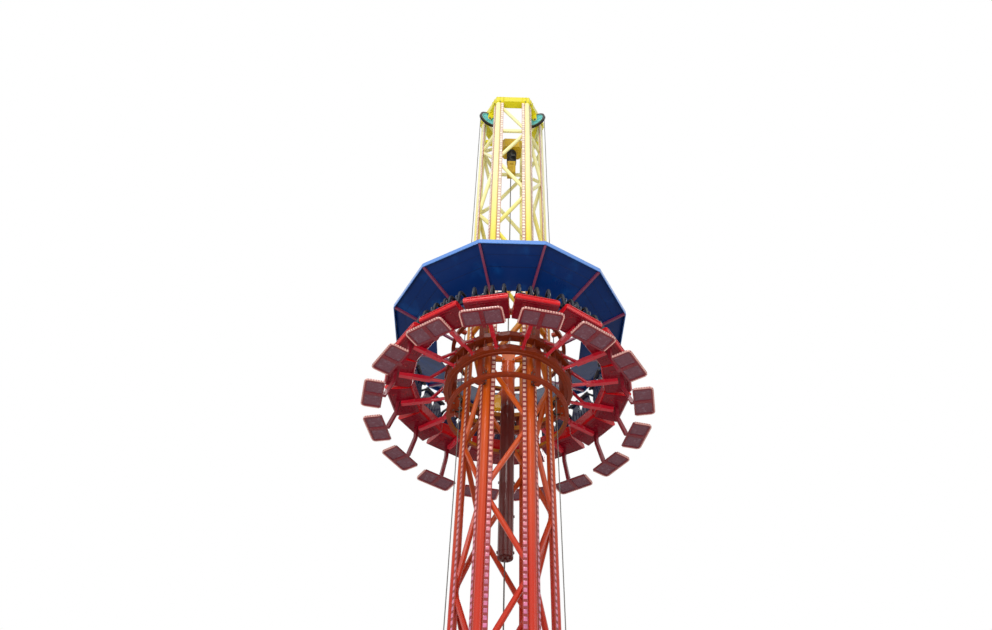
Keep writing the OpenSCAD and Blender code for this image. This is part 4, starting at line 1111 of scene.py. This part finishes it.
class DROPTOWER_OT_restraints(bpy.types.Operator):
    """Makes the padded shoulder restraints"""
    bl_idname = "drop_tower.restraints"
    bl_label = "Restraints"

    def execute(self, context):
        """Each arm is an oval section carried from the pivot over the shoulder and down to the chest, where it closes
        in a quarter of a circle. A bar joins both arms, a tube with lugs is their pivot, and each has a bent grip."""
        pivot_r, pivot_z, apart, chest_z = 2.058, SEAT_H + 0.79, 0.125 * BOTH, 1.074
        line = curve([(pivot_r + 0.02, 0, pivot_z), (2.2, 0, pivot_z + 0.018), (2.33, 0, pivot_z + 0.028),
                      (2.415, 0, pivot_z - 0.02), (2.45, 0, pivot_z - 0.13), (2.475, 0, chest_z + 0.126),
                      (2.497, 0, chest_z + 0.016)], 6)
        t = np.linspace(0, 1, len(line))
        tip = np.sqrt(np.clip(1 - ((t - 0.93) / 0.075) ** 2, 0.02, 1))
        swell = (0.026 + 0.014 * np.clip(t * 4 - 0.6, 0, 1)) * np.where(t > 0.93, tip, 1)
        section = circle(1.0, 14, 0.84, 0.8) * swell[:, None, None]
        arm = inflated(sweep(line, section, up=(0, 1, 0)), 3.0, 0.003)
        foam = vinyl("restraint_foam", paint(12, 17, 32), 0.42)
        chest = curve([(2.5, -0.14, chest_z + 0.004), (2.515, -0.07, chest_z + 0.001), (2.52, 0, chest_z),
                       (2.515, 0.07, chest_z + 0.001), (2.5, 0.14, chest_z + 0.004)], 5)
        bar = sweep(chest, circle(0.026, 12, 1.0, 0.85))
        made = new_piece("restraint_pads", arm.repeated(BAYS[..., None, :, :] @ move(y=apart)) + bar.repeated(BAYS),
                         "gondola", foam, 80)
        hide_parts("restraints")
        tube = sweep([(pivot_r, y, pivot_z) for y in (-0.158, -0.155, 0.155, 0.158)], circle(0.03, 16))
        lug = block(0.05, 0.12, 0.07, 0.006).moved(move(x=pivot_r + 0.018, z=pivot_z - 0.035))
        collar = lathe([(0.03, -0.012), (0.036, -0.008), (0.036, 0.008), (0.03, 0.012)], 16)
        collars = collar.repeated(move(x=pivot_r, y=0.08 * BOTH, z=pivot_z) @ roll(90))
        grip = curve([(x, 0, chest_z + z) for x, z in ((2.49, 0.186), (2.53, 0.188), (2.552, 0.166), (2.556, 0.116),
                                                       (2.548, 0.076), (2.512, 0.066))], 4)
        grips = sweep(grip, circle(0.011, 8), up=(0, 1, 0)).repeated(move(y=apart))
        metal = gloss_paint("restraint_steel", paint(60, 64, 74), 0.3, 0.003, 0.2, paint(150, 150, 150))
        new_piece("restraint_frames", (tube + lug + collars + grips).repeated(BAYS), "gondola", metal,
                  50)
        return {"FINISHED"}


class DROPTOWER_OT_footrests(bpy.types.Operator):
    """Finishes the footrests and adds their studs, lamps and bolts"""
    bl_idname = "drop_tower.footrests"
    bl_label = "Footrests"

    def execute(self, context):
        frame_paint = gloss_paint("footrest_paint", picked("strut"), 0.28, 0.004, 0.25, coat=0.5)
        finish_nodes(frame_paint, "footrest_struts", "footrest_frames")
        tread = self.tread_finish()
        finish_nodes(tread, "tread_plates")
        finish_nodes(self.rim_finish(), "light_rims")
        self.studs(tread)
        self.lamps()
        self.bolts(frame_paint)
        return {"FINISHED"}

    def tread_finish(self):
        """Mauve-brown plate with small dark pits in slanting rows: a product of two sines across and out."""
        f = Finish("tread_plate")
        out, across = f.sector(22.5, 11.25)
        pits = (((out + across) * 262.0).sine() * ((out - across) * 262.0).sine()).fade(0.2, 0.7)
        look = f.mix(picked("tread"), paint(66, 40, 52), pits)
        look = f.mix(look, paint(172, 150, 164), f.noise(16.0, 4.0).fade(0.5, 0.8) * 0.5)
        return f.shade(look, 0.4 + f.noise(24.0) * 0.25, height=1 - pits, lift=0.0016, metallic=0.35)

    def rim_finish(self):
        """Pale clear channel with a dash of light behind each lamp."""
        f = Finish("rim_channel")
        out, across = f.sector(22.5, 11.25)
        front, side = (abs((far / sizes().rim_pitch) % 1.0 - 0.5) < 0.32 for far in (across, out))
        dash = front.most((abs(across) > FOOT_HALF - 0.003) * side)
        look = f.mix(paint(122, 20, 40), paint(226, 170, 158), dash * (f.facing(2) < 0.5))
        return f.shade(look, 0.25 + f.noise(20.0) * 0.1, coat=0.3, round_edge=0.004)

    def studs(self, finish):
        """Round studs on a slanting grid on both faces of every tread plate, each a low six-sided cone, cut off."""
        pitch, radius = sizes().stud_pitch, sizes().stud / 2
        stud = lathe([(radius, -0.0005), (radius * 0.9, 0.002), (radius * 0.5, 0.0032)], 6)
        xs = np.arange(-0.145, 0.146, pitch)
        ys = np.arange(-0.14, 0.141, pitch)
        gx, gy = (g.ravel() for g in np.meshgrid(xs, ys, indexing="ij"))
        shift = pitch / 2 * (np.round((gx - xs[0]) / pitch) % 2)
        keep = np.abs(gy + shift) < 0.148
        places = move(x=gx[keep] + TREAD_R, y=(gy + shift)[keep])
        plates = MODULES[:, None] @ move(y=TREAD_Y * BOTH)
        for name, z, turn in (("tread_studs_top", -0.0156, 0.0), ("tread_studs_under", -0.0216, 180.0)):
            shape = stud.moved(roll(turn)).repeated(places).moved(move(z=z)).repeated(plates)
            new_piece(name, shape, "gondola", finish)

    def lamps(self):
        """Small lenses along the underside of each rim, spaced evenly along its line."""
        pitch = sizes().rim_pitch
        r, half, corner = FOOT_OUT + 0.015, FOOT_HALF + 0.015, 0.085
        a = np.radians(np.arange(0, 91, 15))
        arc = np.stack([r - corner + corner * np.sin(a), half - corner + corner * np.cos(a)], -1)
        line = np.concatenate([[(2.79, half)], arc, [(r, 0)]])
        line = np.concatenate([line, (line * (1, -1))[::-1][1:]])
        legs = np.linalg.norm(np.diff(line, axis=0), axis=1)
        far = np.concatenate([[0], np.cumsum(legs)])
        spots = np.arange(pitch * 0.6, far[-1], pitch)
        xs, ys = np.interp(spots, far, line[:, 0]), np.interp(spots, far, line[:, 1])
        ahead = [np.interp(spots + 0.01, far, line[:, k]) for k in range(2)]
        heading = np.degrees(np.arctan2(ahead[1] - ys, ahead[0] - xs))
        corners = CORNERS * (0.017, 0.005)
        rings = [np.column_stack([corners * s, np.full(4, z)])
                 for s, z in ((1.0, 0.001), (0.94, -0.0025), (0.7, -0.004))]
        places = move(x=xs, y=ys, z=-0.033) @ spin(heading)
        f = Finish("rim_lens")
        look = f.mix(paint(238, 186, 172), paint(214, 130, 136), f.noise(8.0).fade(0.4, 0.7))
        lens = f.shade(look, 0.2, height=f.noise(90.0), lift=0.0005, coat=0.5, glow_strength=0.2)
        new_piece("rim_lamps", skin(rings).repeated(places).repeated(MODULES), "gondola", lens)

    def bolts(self, finish):
        """Bolts through the strut into the footrest's middle bar and into the shell, and a strap under each frame."""
        strap = block(0.30, 0.06, 0.006, 0.002).moved(move(x=2.9, z=-FOOT_T + 0.001) @ OVER)
        heads = bolt(0.018, 0.011, 0.003).repeated(move(x=[2.78, 2.86, 2.94, 3.02], z=-FOOT_T - 0.0045) @ OVER)
        sides = bolt(0.02, 0.012, 0.003).repeated(SIDEWAYS @ move(z=0.0395))
        knee = sides.repeated(move(x=[2.545, 2.545, 2.7], z=[0.42, 0.62, 0.02]))
        new_piece("footrest_straps", strap.repeated(MODULES), "gondola", finish)
        new_piece("footrest_bolts", (heads + knee).repeated(MODULES), "gondola", finish)


class DROPTOWER_OT_canopy(bpy.types.Operator):
    """Finishes the canopy and adds its rivets, battens and edge trim"""
    bl_idname = "drop_tower.canopy"
    bl_label = "Canopy"

    def execute(self, context):
        panel = self.panel_finish()
        finish_nodes(panel, "canopy_panels")
        rib = gloss_paint("rib_paint", picked("rib"), 0.3, 0.005, 0.25, coat=0.4)
        finish_nodes(rib, "canopy_ribs")
        fascia = gloss_paint("fascia_paint", picked("fascia"), 0.28, 0.004, 0.2, coat=0.5)
        finish_nodes(fascia, "canopy_fascia")
        self.trim(fascia, panel, rib)
        return {"FINISHED"}

    def panel_finish(self):
        """Deep blue gloss with soft mottled reflections of light and faint seams between its sheets."""
        f = Finish("canopy_blue")
        out, across = f.sector(30, 0)
        mottle = f.noise(1.9, 3.0).fade(0.5, 0.8)
        look = f.mix(picked("canopy"), paint(10, 80, 150), mottle * 0.6)
        seam = (abs(out - 2.2) < 0.004).most(abs(out - 2.45) < 0.003)  # two seams across each panel
        look = f.mix(look, paint(2, 14, 46), seam * 0.8)
        look = f.mix(look, paint(140, 150, 160), f.facing(2).fade(0.6, 0.95) * f.noise(5.0, 5.0).fade(0.4, 0.8) * 0.3)
        return f.shade(look, 0.22 + f.noise(3.0, 3.0) * 0.16, height=f.noise(2.6, 2.0) * 6.0 - seam, lift=0.0012,
                       coat=0.0, round_edge=0.003, specular=0.2)

    def trim(self, fascia, panel, rib):
        """Bead along the fascia's lower and upper edges, rivets beside each rib on both faces of the panels, standing
        seams over the ribs and bolts under them. Panels lie on z = z0 - slope * (out - r), and ribs likewise."""
        half, fascia_r = 0.7233, 2.7155
        bead = sweep([(fascia_r, y, 0.0) for y in (-half, -half + 0.002, half - 0.002, half)], circle(0.011, 8))
        edges = PANELS[:, None] @ move(z=CANOPY_Z + np.array([-0.057, 0.047]))
        new_piece("fascia_beads", bead.repeated(edges), "gondola", fascia)
        r = CANOPY_IN + 0.04 + (CANOPY_OUT - CANOPY_IN - 0.08) * np.linspace(0.06, 0.98, 12)
        z = CANOPY_Z - CANOPY_SLOPE * (CANOPY_OUT - r)
        across = PAIR * (r[None] * math.tan(math.radians(15)) - 0.042)
        rivet = lathe([(0.009, -0.001), (0.008, 0.002), (0.004, 0.0045)], 8)
        tilt = lean(-math.degrees(math.atan(CANOPY_SLOPE)))
        sides = PANELS[:, None, None]
        under = rivet.repeated(sides @ move(x=r, y=across, z=z) @ tilt @ OVER)
        top = rivet.repeated(sides @ move(x=r - 0.006, y=across, z=z + 0.013) @ tilt)
        new_piece("canopy_rivets", under + top, "gondola", panel)
        path = [(r, 0, CANOPY_Z - RIB_SLOPE * (RIB_OUT - r) + 0.012) for r in np.linspace(1.775, 2.775, 8)]
        cap = sweep(path, np.array([(-0.03, -0.008), (0.03, -0.008), (0.024, 0.006), (0.006, 0.010),
                                    (-0.006, 0.010), (-0.024, 0.006)]))
        new_piece("canopy_seams", cap.repeated(RIBS), "gondola", panel)
        r = np.linspace(1.5, 2.7, 7)
        bolts = bolt(0.016, 0.01, 0.002).repeated(RIBS[:, None] @ move(
            x=r, z=CANOPY_Z - RIB_SLOPE * (RIB_OUT - r) - 0.0605) @ lean(-24) @ OVER)
        new_piece("rib_bolts", bolts, "gondola", rib)


class DROPTOWER_PT_panel(bpy.types.Panel):
    """Sizes, colours and the steps that make the ride's looks"""
    bl_idname = "DROPTOWER_PT_panel"
    bl_label = "Drop Tower"
    bl_space_type = "VIEW_3D"
    bl_region_type = "UI"
    bl_category = "Drop Tower"

    def draw(self, context):
        for group in (context.scene.drop_tower_sizes, context.scene.drop_tower_colours):
            box = self.layout.box()
            for name in group.__annotations__:
                box.prop(group, name)
        for step in STEPS:
            self.layout.operator(step.bl_idname)


STEPS = (DROPTOWER_OT_stage, DROPTOWER_OT_tower, DROPTOWER_OT_hoist, DROPTOWER_OT_carriage, DROPTOWER_OT_seats,
         DROPTOWER_OT_restraints, DROPTOWER_OT_footrests, DROPTOWER_OT_canopy)
CLASSES = (DropTowerColours, DropTowerSizes) + STEPS + (DROPTOWER_PT_panel,)


def register():
    for c in CLASSES:
        bpy.utils.register_class(c)
    bpy.types.Scene.drop_tower_colours = bpy.props.PointerProperty(type=DropTowerColours)
    bpy.types.Scene.drop_tower_sizes = bpy.props.PointerProperty(type=DropTowerSizes)


def unregister():
    del bpy.types.Scene.drop_tower_sizes
    del bpy.types.Scene.drop_tower_colours
    for c in reversed(CLASSES):
        bpy.utils.unregister_class(c)


def main():
    register()
    for step in STEPS:
        group, name = step.bl_idname.split(".")
        getattr(getattr(bpy.ops, group), name)()


if __name__ == "__main__":
    main()
